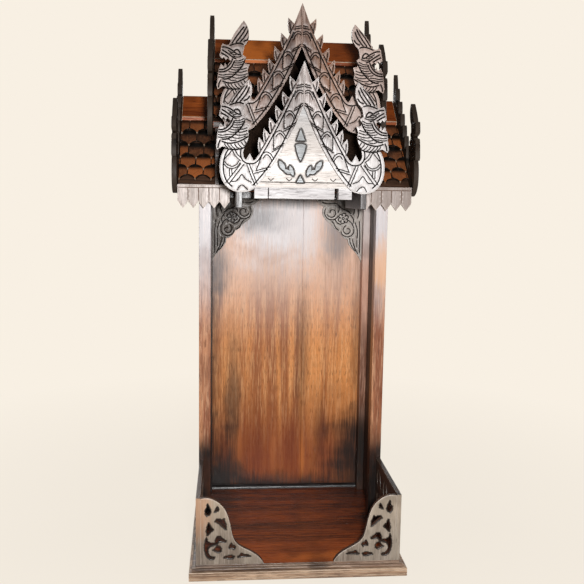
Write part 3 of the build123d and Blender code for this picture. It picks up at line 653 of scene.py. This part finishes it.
def carve(node, axis, sign, lines, materials, pitch=1.8, crown=0.35, round_over=0.9, both=False, recess=None,
          hole_shade=0.0):
    """Replaces a flat CAD board by one whose face is carved.

    lines are (points, width, depth) in mm across the face. Between the lines the face swells by crown.
    Holes in the face go right through, or down to recess, whose floor takes the last of the materials. The
    face carries painted shade round them for hole_shade. With both, the back is carved as the face is.
    """
    loops, level = face_loops(node, axis, sign)
    other_level = face_loops(node, axis, -sign)[1]
    rim = np.array([(*a, *b) for loop in loops for a, b in sides(loop)])
    cuts = np.array([(*a, *b) for points, *_ in lines for a, b in zip(points, points[1:])]).reshape(-1, 4)
    sizes = np.array([size for points, *size in lines for _ in points[1:]]).reshape(-1, 2)
    verts, edges = face_points(loops, rim, lines, cuts, sizes, pitch, round_over)
    flat, _, faces, *_ = delaunay_2d_cdt([Vector(v) for v in verts], edges, [], 0, 1e-4)
    flat = np.array([tuple(v) for v in flat])
    faces = np.array([f for f in faces if len(f) == 3])
    centres = flat[faces].mean(1)
    solid = inside(centres, loops)
    outer = np.zeros(len(faces), bool)
    if recess:
        for loop in loops:
            outer |= inside(centres, [loop])
    sunk = faces[outer & ~solid]
    faces = faces[solid]
    drop, carving_shade_and_highlight = relief(flat, loops, rim, cuts, sizes, crown, round_over, hole_shade)

    mesh = bmesh.new()
    layer = mesh.verts.layers.float.new("carving_shade_and_highlight")
    across = [i for i in range(3) if i != axis]

    def add(heights, values, members):
        made = {}
        for i in members:
            co = [0.0, 0.0, 0.0]
            co[across[0]], co[across[1]], co[axis] = flat[i][0] * MM, flat[i][1] * MM, heights[i] * MM
            made[i] = mesh.verts.new(co)
            made[i][layer] = values[i]
        return made

    plain = np.zeros(len(flat))
    top = add(level - sign * drop, carving_shade_and_highlight, np.unique(faces))
    base = np.concatenate((faces, sunk))
    if both:
        bottom = add(other_level + sign * drop, carving_shade_and_highlight, np.unique(base))
    else:
        bottom = add(plain + other_level, plain, np.unique(base))
    for f in faces:
        mesh.faces.new([top[i] for i in f])
    for f in base:
        mesh.faces.new([bottom[i] for i in f[::-1]]).material_index = 0 if both else 1
    if len(sunk):
        floor = add(plain + level - sign * recess, plain, np.unique(sunk))
        for f in sunk:
            mesh.faces.new([floor[i] for i in f]).material_index = len(materials) - 1
    face_sides, floor_sides = directed(faces), directed(sunk)
    for a, b in face_sides:
        if (b, a) not in face_sides:
            foot = floor if (b, a) in floor_sides else bottom
            mesh.faces.new((top[b], top[a], foot[a], foot[b])).material_index = 1
    turn_outward(mesh)
    if not both:
        # dicts, not sets, so that every run takes the elements in one order
        rear = dict.fromkeys(f for f in mesh.faces if f.material_index == 1 and abs(f.normal[axis]) > 0.99)
        corners = dict.fromkeys(v for f in rear for v in f.verts)
        inner = dict.fromkeys(e for f in rear for e in f.edges if all(g in rear for g in e.link_faces))
        bmesh.ops.dissolve_limit(mesh, angle_limit=REAR_FLAT_ANGLE, verts=list(corners), edges=list(inner))
    return finish_piece(node + "_piece", mesh, materials, SLOTS[node], node, smooth=50)


# Strokes of a naga board as (out, up) on the front gable board, in mm. Up is from the base.
UPPER_EDGE = [(0, 688), (14.5, 651)] + bezier((14.5, 651), (44, 589), (61, 563.5))[1:] + [
    (64.5, 561), (68.5, 560.5), (72.5, 561.2), (75, 563), (77, 567), (77.3, 571), (76.5, 575)]
INNER_EDGE = bezier((0, 632), (31.1, 555.8), (64, 524.5), 20)
CURL_EDGE = [(64, 524.5), (71, 521.5), (79, 520.3), (87, 521.3), (95, 524.5), (100.5, 529.5), (104.5, 536),
             (107, 545), (107.5, 554), (106.8, 561), (105.5, 567), (103.5, 572), (100.5, 577)]
BODY_STROKES = [
    # scales, from the apex down: double arches with a double bar under each
    ((13, 643), (10.5, 648), (6, 651.3), (1.2, 650)), ((11, 641), (8.8, 645.5), (5.8, 648.3), (1.2, 647.3)),
    ((1.2, 635), (6, 631.5), (11.5, 628)), ((1.8, 631.8), (6.5, 628.6), (12.3, 625.2)),
    ((25, 619), (23, 623), (18.5, 625.2), (13.8, 622.3), (10.6, 616.5)),
    ((22, 618.5), (18.2, 621.6), (15, 619.5), (12.6, 615)), ((25, 619), (25.6, 611), (25, 603)),
    ((10, 610.5), (17, 606), (24.5, 602)), ((11.2, 607.3), (18, 603), (25.3, 599.2)),
    ((38, 594), (35, 598), (30.5, 599.6), (25.6, 596.5), (21.8, 590)),
    ((35, 592.8), (32.8, 595.2), (30, 596.2), (26.8, 593.6), (24, 588.8)),
    ((38, 594), (38.6, 585), (38.2, 576)), ((25, 583.5), (31, 580), (38.2, 575.5)),
    ((26.8, 580.6), (32.5, 577), (39.8, 572.8)),
    ((54, 566.5), (52, 570), (47.5, 572.3), (42, 569.8), (38.2, 563.5)),
    ((51.3, 564.8), (49.6, 567.6), (47, 568.8), (43.4, 566.6), (40.6, 562)),
    ((54, 566.5), (57, 558), (60.5, 548.5)), ((43.5, 553), (51, 551), (60.5, 548.2)),
    ((46, 549.8), (53, 547.6), (62, 545)),
    # bars across the apex
    ((0.8, 658.6), (7.8, 657.2)), ((0.8, 655.8), (8.8, 654.4)),
]
FOOT_STROKES = [
    ((77, 555.5), (86, 543.5), (95.5, 531)), ((80.6, 556.5), (90, 544.5), (99.3, 532.8)),
    ((69.3, 556), (64.5, 544), (59.3, 531.5)), ((72.6, 555.3), (67.5, 542.5), (62, 529.5)),
    ((92, 534), (86.5, 534.5), (83, 538), (79, 543), (74, 537), (66.5, 533.5)),
    ((84.5, 523.5), (82, 528), (79, 529.6), (75.5, 528), (71.5, 523.5)),
    # curl
    ((101.3, 562.5), (96, 568.6), (92, 573.6)), ((91.5, 574), (87.5, 566.6), (81.5, 561)),
    ((88.7, 575.3), (84.8, 568.6), (80, 564)),
    ((102.5, 556.5), (98, 552), (91, 550.6), (85, 553), (81.4, 558)),
    ((101, 559), (97, 554.8), (91, 553.3), (86, 555.6), (83.4, 559.6)), ((95.2, 549.6), (95, 541.5)),
    ((92, 549.3), (91.6, 541.5)),
]
HEAD_STROKES = [
    # crest
    ((92, 634), (87, 641.5), (81.5, 649), (77, 654.5)), ((87, 634.8), (82, 641), (76.8, 648.5), (73.2, 655)),
    ((81.5, 635.6), (77, 640.8), (72.8, 647), (70.6, 652.5)), ((76.5, 636.5), (72.5, 638.5), (70, 642)),
    ((95, 630.5), (88.5, 632.8), (83, 633.8), (78, 632.6)),
    # brow, eye and lips
    ((104.6, 628.4), (100.5, 628.2), (96, 626.6), (92, 624.4), (88, 621.4), (84.4, 619.4), (81.4, 619.2)),
    ((89.4, 623.6), (87.6, 625.2), (85, 625.4), (82.4, 623), (81.2, 619.6)),
    ((104.5, 624.4), (99.3, 621.4), (94.8, 618.2), (91, 615.5), (87.6, 613.8)),
    ((106, 620.5), (101, 618), (96.6, 615)), ((109, 599.2), (103, 600), (98, 603), (94, 607.8), (91.6, 613)),
    ((109.6, 596.2), (103, 596.8), (97, 599.4), (92, 604.4), (89.2, 610.5)),
    # crescents of the mane and the beard
    ((103.6, 587.4), (99, 587.6), (94, 589.6), (89.5, 593), (84.6, 597.6), (80.6, 602), (77.6, 607),
     (75.6, 611.6), (73.6, 614.2)),
    ((104.4, 584.6), (99.3, 582.9), (94.2, 582.4), (89.2, 583.2), (84.1, 584.6), (79.1, 586.8),
     (74.6, 589.4), (71.4, 591.4)),
    ((101.2, 576.4), (95.5, 575), (89.2, 574.6), (82.8, 575.2), (77.8, 576.6), (73.4, 579)),
    ((107.5, 585), (109.2, 581), (109.8, 576.6)),
]
FEATHERS = [
    # muzzle and cheek
    ((97.4, 624.2), (94, 622.2), (90.8, 621.2)), ((94.6, 620.9), (91, 619.2), (87.2, 618.8)),
    ((90.4, 617.2), (87, 616), (83, 616.2), (80, 617.6)), ((87.6, 611), (82.4, 611.4), (77.2, 613.8)),
    ((88.4, 608.4), (82.6, 608.6), (77.6, 610.4)), ((89, 605.6), (83, 605.8), (78.8, 607.2)),
    ((90.4, 602.6), (85.2, 602.4), (80.8, 603.4)), ((92.6, 599.8), (87.6, 599.2), (83.2, 600)),
    ((95.8, 597), (90.6, 596.2), (86.4, 596.8)),
    # mane
    ((109.2, 593), (104, 592.4), (98.6, 593.4), (92.4, 593.8)),
    ((109.4, 590), (104.6, 589.4), (99, 590.4), (94.4, 590.6)), ((83.8, 600.6), (79, 600.4), (73, 602.4)),
    ((86.6, 597.4), (80.6, 596.6), (73, 598.8)), ((89.8, 594.2), (83.6, 592.8), (77, 593.4), (71.8, 595)),
    ((93.6, 591), (87.6, 589), (81, 589.4), (75.4, 591.4)), ((98.6, 588.6), (92.6, 585.8), (87, 586.4)),
    # beard
    ((101.6, 581.6), (99.8, 578.6), (97.2, 576.8)), ((97.4, 580.8), (95.4, 577.8), (92.4, 575.8)),
    ((93, 580.6), (90.8, 577.6), (88, 575.6)), ((88.6, 581.2), (86.4, 578.2), (83.4, 576.2)),
    ((84.2, 582.4), (82, 579.4), (79, 577.2)), ((80.2, 584.2), (78, 581.2), (75.2, 578.8)),
    ((76.2, 586.2), (74.2, 583.4), (72.2, 581.2)),
]


def placed(sign, across=0.0, lift=0.0):
    """Takes a stroke's (out, up) to its place on a board; sign is -1 on the left."""
    return lambda point: (across + sign * point[0], point[1] + lift)


def as_lines(strokes, place, width, depth):
    return [([place(p) for p in smooth_line(stroke)], width, depth) for stroke in strokes]


def flame_strokes(shoulder, pull, foot, span):
    """A vein and a root line in each of the six flames along a board's upper edge."""
    strokes = []
    for index in range(6):
        t = span[0] + (span[1] - span[0]) * index / 5
        point = Vector(curve_point(t, shoulder, pull, foot))
        down = Vector([(1 - t) * (b - a) + t * (c - b) for a, b, c in zip(shoulder, pull, foot)]).normalized()
        off = Vector((-down.y, down.x))
        for course in (((2.2, 0.8), (-1.0, 3.2), (-6.4, 7.0)), ((6.4, 0.2), (1.0, 0.5), (-5.6, 0.4))):
            strokes.append([tuple(point + down * a + off * b) for a, b in course])
    return strokes


HEAD_SIZE = 0.92 / 0.96  # the end boards' heads, against the porch's


def end_board_lines(lift):
    """Borders, scales, flames and the head of a board at the end of the main roof, as (out, up)."""
    shoulder, pull, foot = (8.9, 686 + lift), (90.3, 600 + lift), (117.8, 559.7 + lift)
    inner = ((0, 650 + lift), (65, 582 + lift), (117, 526 + lift))
    last = 24
    upper_line, inner_line = bezier(shoulder, pull, foot, last), bezier(*inner, last)
    strokes = [beside(upper_line, 3.4), beside(inner_line, -3.8)]
    for start in range(3, 22, 3):
        a, b = Vector(upper_line[start]), Vector(inner_line[min(start + 1, last)])
        ahead_a, ahead_b = Vector(upper_line[min(start + 3, last)]), Vector(inner_line[min(start + 4, last)])
        strokes.append([tuple(a.lerp(b, share)) for share in (0.2, 0.5, 0.82)])
        arch = [a.lerp(b, 0.24), ahead_a.lerp(ahead_b, 0.3).lerp(a.lerp(b, 0.3), 0.35),
                ahead_a.lerp(ahead_b, 0.5), ahead_a.lerp(ahead_b, 0.7).lerp(a.lerp(b, 0.7), 0.35),
                a.lerp(b, 0.78)]
        strokes.append([tuple(p.lerp(a.lerp(b, 0.5), 0.12)) for p in arch])
    strokes.extend(flame_strokes(shoulder, pull, foot, (0.06, 0.78)))

    def place_head(point):
        return (-(foot[0] + (point[0] - 61) * HEAD_SIZE), foot[1] + (point[1] - 563.5) * HEAD_SIZE)

    head = FOOT_STROKES[:4] + HEAD_STROKES + FEATHERS
    return (as_lines(strokes, placed(-1), 1.9, 1.0) + as_lines(head, place_head, 1.8, 1.1)
            + as_lines([beside(CURL_EDGE, -4.6)[4:]], place_head, 2.0, 1.2))


PORCH_CENTRE = -2.0
for tier, lift, face in (("front", 0.0, CARVED_GREY), ("rear", 81.0, CARVED_BROWN)):
    for side, sign in SIDES:
        place = placed(sign, PORCH_CENTRE, lift)
        borders = [beside(UPPER_EDGE, 3.6)[1:], beside(INNER_EDGE, -4.2)[:-1], beside(CURL_EDGE, -4.6)[4:]]
        flames = flame_strokes((14.5, 651), (44, 589), (61, 563.5), (-0.02, 0.8))
        lines = (as_lines(borders, place, 1.9, 1.5) + as_lines(BODY_STROKES + FOOT_STROKES, place, 1.5, 1.1)
                 + as_lines(HEAD_STROKES, place, 2.1, 1.8) + as_lines(FEATHERS, place, 1.5, 1.2)
                 + as_lines(flames, place, 1.5, 0.9))
        carve(f"{tier}_bargeboard_{side}", 1, -1, lines, (face, CARVED_EDGE))

for tier, lift in (("lower", 0.0), ("upper", 84.0)):
    for side, sign in SIDES:
        carve(f"{tier}_end_board_{side}", 0, sign, end_board_lines(lift), (CARVED_DARK, CARVED_DARK),
              pitch=2.6, both=True)


# ------ other carved boards
def spiral(centre, start_radius, end_radius, start_angle, turns, count=30):
    """Points of a spiral; angles in degrees, counter-clockwise from the right."""
    line = []
    for step in range(count + 1):
        share = step / count
        angle = radians(start_angle + 360 * turns * share)
        radius = start_radius + (end_radius - start_radius) * share
        line.append((centre[0] + radius * cos(angle), centre[1] + radius * sin(angle)))
    return line


FLOWER = (91.5, 481)
SCROLLS = [
    spiral((72.5, 490.5), 8.8, 3.0, 200, 0.95),
    spiral((72.5, 490.5), 12.2, 11.8, 150, 0.5),
    spiral((99, 461.5), 8.2, 2.8, 120, 0.9),
    spiral((99, 461.5), 11.0, 10.6, 190, 0.5),
    spiral(FLOWER, 1.9, 1.9, 0, 1, 10),
]
for petal in range(6):
    angle = radians(60 * petal + 20)
    middle = (FLOWER[0] + 5.4 * cos(angle), FLOWER[1] + 5.4 * sin(angle))
    SCROLLS.append(spiral(middle, 3.3, 3.3, 60 * petal - 90, 0.61, 10))
SPANDREL_STROKES = [
    ((57, 507), (64, 504.5), (72, 505.5), (80, 505), (86, 500)), ((50.5, 510), (56, 511.5), (64, 511)),
    ((83, 502), (84.5, 497), (83, 492)), ((84, 500), (92, 496), (99, 493.5), (104, 489)),
    ((103, 510), (108, 503), (110, 495), (108, 488)), ((110, 511), (115, 502), (117, 492), (115.5, 482)),
    ((104, 486), (108.5, 480), (108, 473)), ((100, 478), (105, 474), (109.5, 466)),
    ((78, 479), (82, 473.5), (88, 471)), ((73, 476), (76, 472), (79, 465.5), (84, 461.5)),
    ((111.5, 474), (114.5, 466), (116, 458), (115.3, 449)), ((115.2, 446), (115.4, 434)),
    ((103, 447.5), (103.8, 442), (107.5, 434), (112, 428)),
    ((108, 446), (109.5, 439), (113, 430), (117, 423)),
    ((118.8, 476), (119.4, 460), (119.6, 440), (119.8, 424)),
]
SPANDREL_STROKES.extend(SCROLLS)
for side, sign in SIDES:
    lines = as_lines(SPANDREL_STROKES, placed(sign), 1.7, 2.2)
    carve(f"spandrel_{side}", 1, -1, lines, (SPANDREL, CARVED_EDGE), pitch=1.5, crown=1.3, round_over=1.3)

carve("back_panel", 1, -1, as_lines([((26, 514), (27, 250), (28, 21))], tuple, 0.8, 0.8), (PANEL, REAR),
      pitch=12, crown=0.0, round_over=0.4)

EAVE_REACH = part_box("lower_eave_board")[1][0] / MM
TOOTH_WIDTH = 15
VALANCE_STROKES = []
for sign in (-1, 1):
    tooth_sides = [sign * (EAVE_REACH - TOOTH_WIDTH * k) for k in range(1, 7)]
    VALANCE_STROKES.extend(((x, 509), (x, 526)) for x in tooth_sides)
    VALANCE_STROKES.append(((sign * 170, 526.6), (sign * 76, 526.6)))
carve("valances", 1, -1, as_lines(VALANCE_STROKES, tuple, 1.3, 0.9), (VALANCE, WORN_AND_HIGHLIGHT), pitch=4, crown=0.15,
      round_over=0.7)

for side, _ in SIDES:
    # hole walls and edges take the dark side wood: painted shade in the holes
    carve(f"front_bracket_{side}", 1, -1, [], (FRET, CARVED_EDGE), pitch=2.2, round_over=0.7, hole_shade=1.0)

PEDIMENT_STROKES = [((-62, 534.2), (58, 534.2))]
PEDIMENT_STROKES.extend(((x - 3, 538.5), (x, 536.3), (x + 3, 538.5)) for x in (-43, 39, -19, 15))
carve("front_pediment", 1, -1, as_lines(PEDIMENT_STROKES, tuple, 1.2, 0.8), (PEDIMENT, CARVED_EDGE, RECESS),
      pitch=2.6, crown=0.1, round_over=0.6, recess=3.5, hole_shade=2.2)


def moulded(node, profile, materials):
    """The CAD box with beads run round it: profile is (height, inset) in mm from its foot."""
    low, high = (Vector(corner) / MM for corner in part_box(node))
    mesh = bmesh.new()
    rings = []
    for height, inset in profile:
        corners = ((low.x + inset, low.y + inset), (high.x - inset, low.y + inset),
                   (high.x - inset, high.y), (low.x + inset, high.y))
        rings.append([mesh.verts.new((x * MM, y * MM, (low.z + height) * MM)) for x, y in corners])
    mesh.faces.new(rings[0][::-1])
    mesh.faces.new(rings[-1])
    for (lower, upper), (start, end) in zip(zip(rings, rings[1:]), zip(profile, profile[1:])):
        for i in range(4):
            j = (i + 1) % 4
            mesh.faces.new((lower[i], lower[j], upper[j], upper[i])).material_index = int(start[1] != end[1])
    turn_outward(mesh)
    finish_piece(node + "_piece", mesh, materials, SLOTS[node], node, smooth=20)


BASE_PROFILE = ((0, 0.9), (0.9, 0), (2.6, 0), (3.3, 0.8), (4.0, 0), (8.0, 0), (8.7, 0.8), (9.4, 0),
                (11.1, 0), (12, 0.9))
moulded("base_plank", BASE_PROFILE, (BASE, WORN_AND_HIGHLIGHT))

BEAD_RADIUS = 0.006
BEAD_INSET = 0.011
BEAD_STEPS = 6


def foot_bead():
    """Quarter round that closes the joint between the floor and the back panel."""
    low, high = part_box("back_battens")
    floor_level, panel_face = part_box("floor_board")[1][2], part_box("back_panel")[0][1]
    mesh = bmesh.new()
    rows = []
    for x in (low.x + BEAD_INSET, high.x - BEAD_INSET):
        corner = [mesh.verts.new((x, panel_face, floor_level))]
        for step in range(BEAD_STEPS + 1):
            angle = pi / 2 * step / BEAD_STEPS
            out, up = BEAD_RADIUS * cos(angle), BEAD_RADIUS * sin(angle)
            corner.append(mesh.verts.new((x, panel_face - out, floor_level + up)))
        rows.append(corner)
    mesh.faces.new(rows[0][::-1])
    mesh.faces.new(rows[1])
    count = BEAD_STEPS + 2
    for i in range(count):
        j = (i + 1) % count
        mesh.faces.new((rows[0][i], rows[0][j], rows[1][j], rows[1][i]))
    turn_outward(mesh)
    finish_piece("foot_bead", mesh, (NEAR_BLACK,), "base_wood")


foot_bead()

# ------ shingles
SLOPE = atan(0.9662)
TILE_LAYER = 5.0
TIP_ROWS = (91, 119, 147, 171, 194)
SHINGLE_WIDTH = 23.0
SHINGLE_LENGTH = 38
JOINT = 0.35
OGEE = 11.0
OGEE_STEPS = 8
LEAST_AREA = 6  # square mm; smaller offcuts are left out


def on_slope(x, down, up, ridge):
    """Across, down the slope from the ridge line and above the roof board, in mm, to metres."""
    up -= TILE_LAYER
    return Vector((x, -down * cos(SLOPE) - up * sin(SLOPE),
                   ridge - down * sin(SLOPE) + up * cos(SLOPE))) * MM


def cut_polygon(points, a, b, c):
    """The part of the polygon where a*x + b*down is at most c."""
    kept = []
    for p, q in sides(points):
        gap_p, gap_q = a * p[0] + b * p[1] - c, a * q[0] + b * q[1] - c
        if gap_p <= 0:
            kept.append(p)
        if gap_p * gap_q < 0:
            share = gap_p / (gap_p - gap_q)
            kept.append((p[0] + (q[0] - p[0]) * share, p[1] + (q[1] - p[1]) * share))
    return kept


def shingles(name, ridge, limits, first, draw):
    """Five staggered rows on one slope, each shingle ending in an ogee tip and lifted at its foot."""
    mesh = bmesh.new()
    tone_layer, lip_layer = mesh.verts.layers.float.new("tone"), mesh.verts.layers.float.new("lip")
    half = SHINGLE_WIDTH / 2 - JOINT
    for row, tip in enumerate(TIP_ROWS):
        for column in range(-14, 15):
            middle = first + (column + 0.5 * (row % 2)) * SHINGLE_WIDTH
            wobble, tone, end = draw.uniform(-0.5, 0.5), draw.random(), tip + draw.uniform(-1.2, 1.2)
            outline = [(middle - half, end - SHINGLE_LENGTH), (middle + half, end - SHINGLE_LENGTH)]
            for step in range(OGEE_STEPS, -OGEE_STEPS - 1, -1):
                rise = OGEE * sin(pi / 2 * abs(step) / OGEE_STEPS) ** 0.8
                outline.append((middle + half * step / OGEE_STEPS, end - rise))
            for limit in limits:
                outline = cut_polygon(outline, *limit)
            if len(outline) < 3:
                continue
            area = sum(p[0] * q[1] - q[0] * p[1] for p, q in sides(outline)) / 2
            if abs(area) < LEAST_AREA:
                continue
            count = len(outline)
            centre = (sum(p[0] for p in outline) / count, sum(p[1] for p in outline) / count)
            rings = []
            for shrink, extra in ((0, 0), (0, 2.5), (0.7, 3.2)):
                ring = []
                for x, down in outline:
                    reach = dist((x, down), centre)
                    share = 1 - shrink / max(reach, shrink * 1.5)
                    point = (centre[0] + (x - centre[0]) * share, centre[1] + (down - centre[1]) * share)
                    along = (point[1] - end + SHINGLE_LENGTH) / SHINGLE_LENGTH
                    height = 0.2 + along * (1.2 + wobble) + extra * (0.2 + 0.8 * along)
                    ring.append(mesh.verts.new(on_slope(*point, height, ridge)))
                    ring[-1][tone_layer] = tone ** 1.6
                    ring[-1][lip_layer] = along
                rings.append(ring)
            mesh.faces.new(rings[0])
            mesh.faces.new(rings[2][::-1])
            for lower, upper in zip(rings, rings[1:]):
                for i in range(count):
                    j = (i + 1) % count
                    mesh.faces.new((lower[i], upper[i], upper[j], lower[j])).material_index = 1
    turn_outward(mesh)
    split_wide(mesh)
    finish_piece(name, mesh, (SHINGLE, SHINGLE_TIP), "roof_wood", smooth=25)


draw = random.Random(7)
RIDGE_LINE = 674.0
UPPER_LIFT = 90
PORCH_SLOPE = 1.76
VALLEY = 0.6949 / PORCH_SLOPE
RIDGE_END, EAVE_END = 53.2, 204.5
INNER_REACH, LOWER_REACH, UPPER_REACH = 117.8, 170.7, 120.2
for side, sign, first in (("left", -1, -146.5), ("right", 1, 134.5)):
    ends = ((0, 1, EAVE_END), (0, -1, -RIDGE_END))
    shingles(f"lower_shingles_{side}", RIDGE_LINE, ((sign, 0, LOWER_REACH), (-sign, 0, -INNER_REACH), *ends),
             first, draw)
    valley = (-sign, VALLEY, -sign * PORCH_CENTRE + 35 / PORCH_SLOPE)
    shingles(f"upper_shingles_{side}", RIDGE_LINE + UPPER_LIFT, ((sign, 0, UPPER_REACH), valley, *ends),
             first + 7.0, draw)


# ------ room
def area_lamp(name, place, aim, size, power):
    lamp = bpy.data.lights.new(name, "AREA")
    lamp.shape = "DISK"
    lamp.size = size
    lamp.energy = power
    obj = bpy.data.objects.new(name, lamp)
    obj.location = place
    obj.rotation_euler = (Vector(aim) - Vector(place)).to_track_quat("-Z", "Y").to_euler()
    obj.visible_camera = False
    scene.collection.objects.link(obj)


area_lamp("key", (-0.035, -1.27, 0.551), (0, -0.1, 0.42), 0.08, 13.8)
area_lamp("left_fill", (-1.5, 0.7, 0.8), (0, -0.1, 0.4), 0.8, 10)
area_lamp("right_fill", (1.5, 0.7, 0.8), (0, -0.1, 0.4), 0.8, 10)
area_lamp("back_fill", (0.0, 1.6, 1.1), (0, 0, 0.4), 1.0, 14)

CREAM = (0.94, 0.87, 0.77)


def background():
    """A dim light from all round, and a cream backdrop where the camera looks past everything."""
    scene.world = bpy.data.worlds.new("studio")
    make = Shader(scene.world)
    light = make.nodes["Background"]
    make.feed(light.inputs["Color"], (1, 0.98, 0.95))
    make.feed(light.inputs["Strength"], 0.08)
    seen = make.node("Background", {"Color": CREAM})
    camera_ray = make.node("LightPath", output="Is Camera Ray")
    look = make.node("MixShader", {0: camera_ray, 1: light.outputs[0], 2: seen})
    make.feed(make.nodes["World Output"].inputs["Surface"], look)


def floor():
    """A pale disc that glows like the backdrop away from the house."""
    material = bpy.data.materials.new("floor")
    mesh = bmesh.new()
    bmesh.ops.create_circle(mesh, cap_ends=True, radius=12, segments=64)
    obj = new_object("floor", mesh, (material,))
    obj.location.z = -0.0005
    make = Shader(material)
    surface = make.nodes["Principled BSDF"]
    for name, value in (("Base Color", (0.5, 0.46, 0.4)), ("Roughness", 0.9), ("Specular IOR Level", 0.1)):
        make.feed(surface.inputs[name], value)
    reach = make.node("VectorMath", {0: make.place}, "Value", operation="LENGTH")
    fade = make.node("MapRange", {"Value": reach, "From Min": 0.3, "From Max": 0.95, "To Min": 0.87})
    share = make.times(make.node("LightPath", output="Is Camera Ray"), fade)
    glow = make.node("Emission", {"Color": CREAM})
    look = make.node("MixShader", {0: share, 1: surface.outputs[0], 2: glow})
    make.feed(make.nodes["Material Output"].inputs["Surface"], look)


background()
floor()
scene.view_settings.view_transform = "Standard"
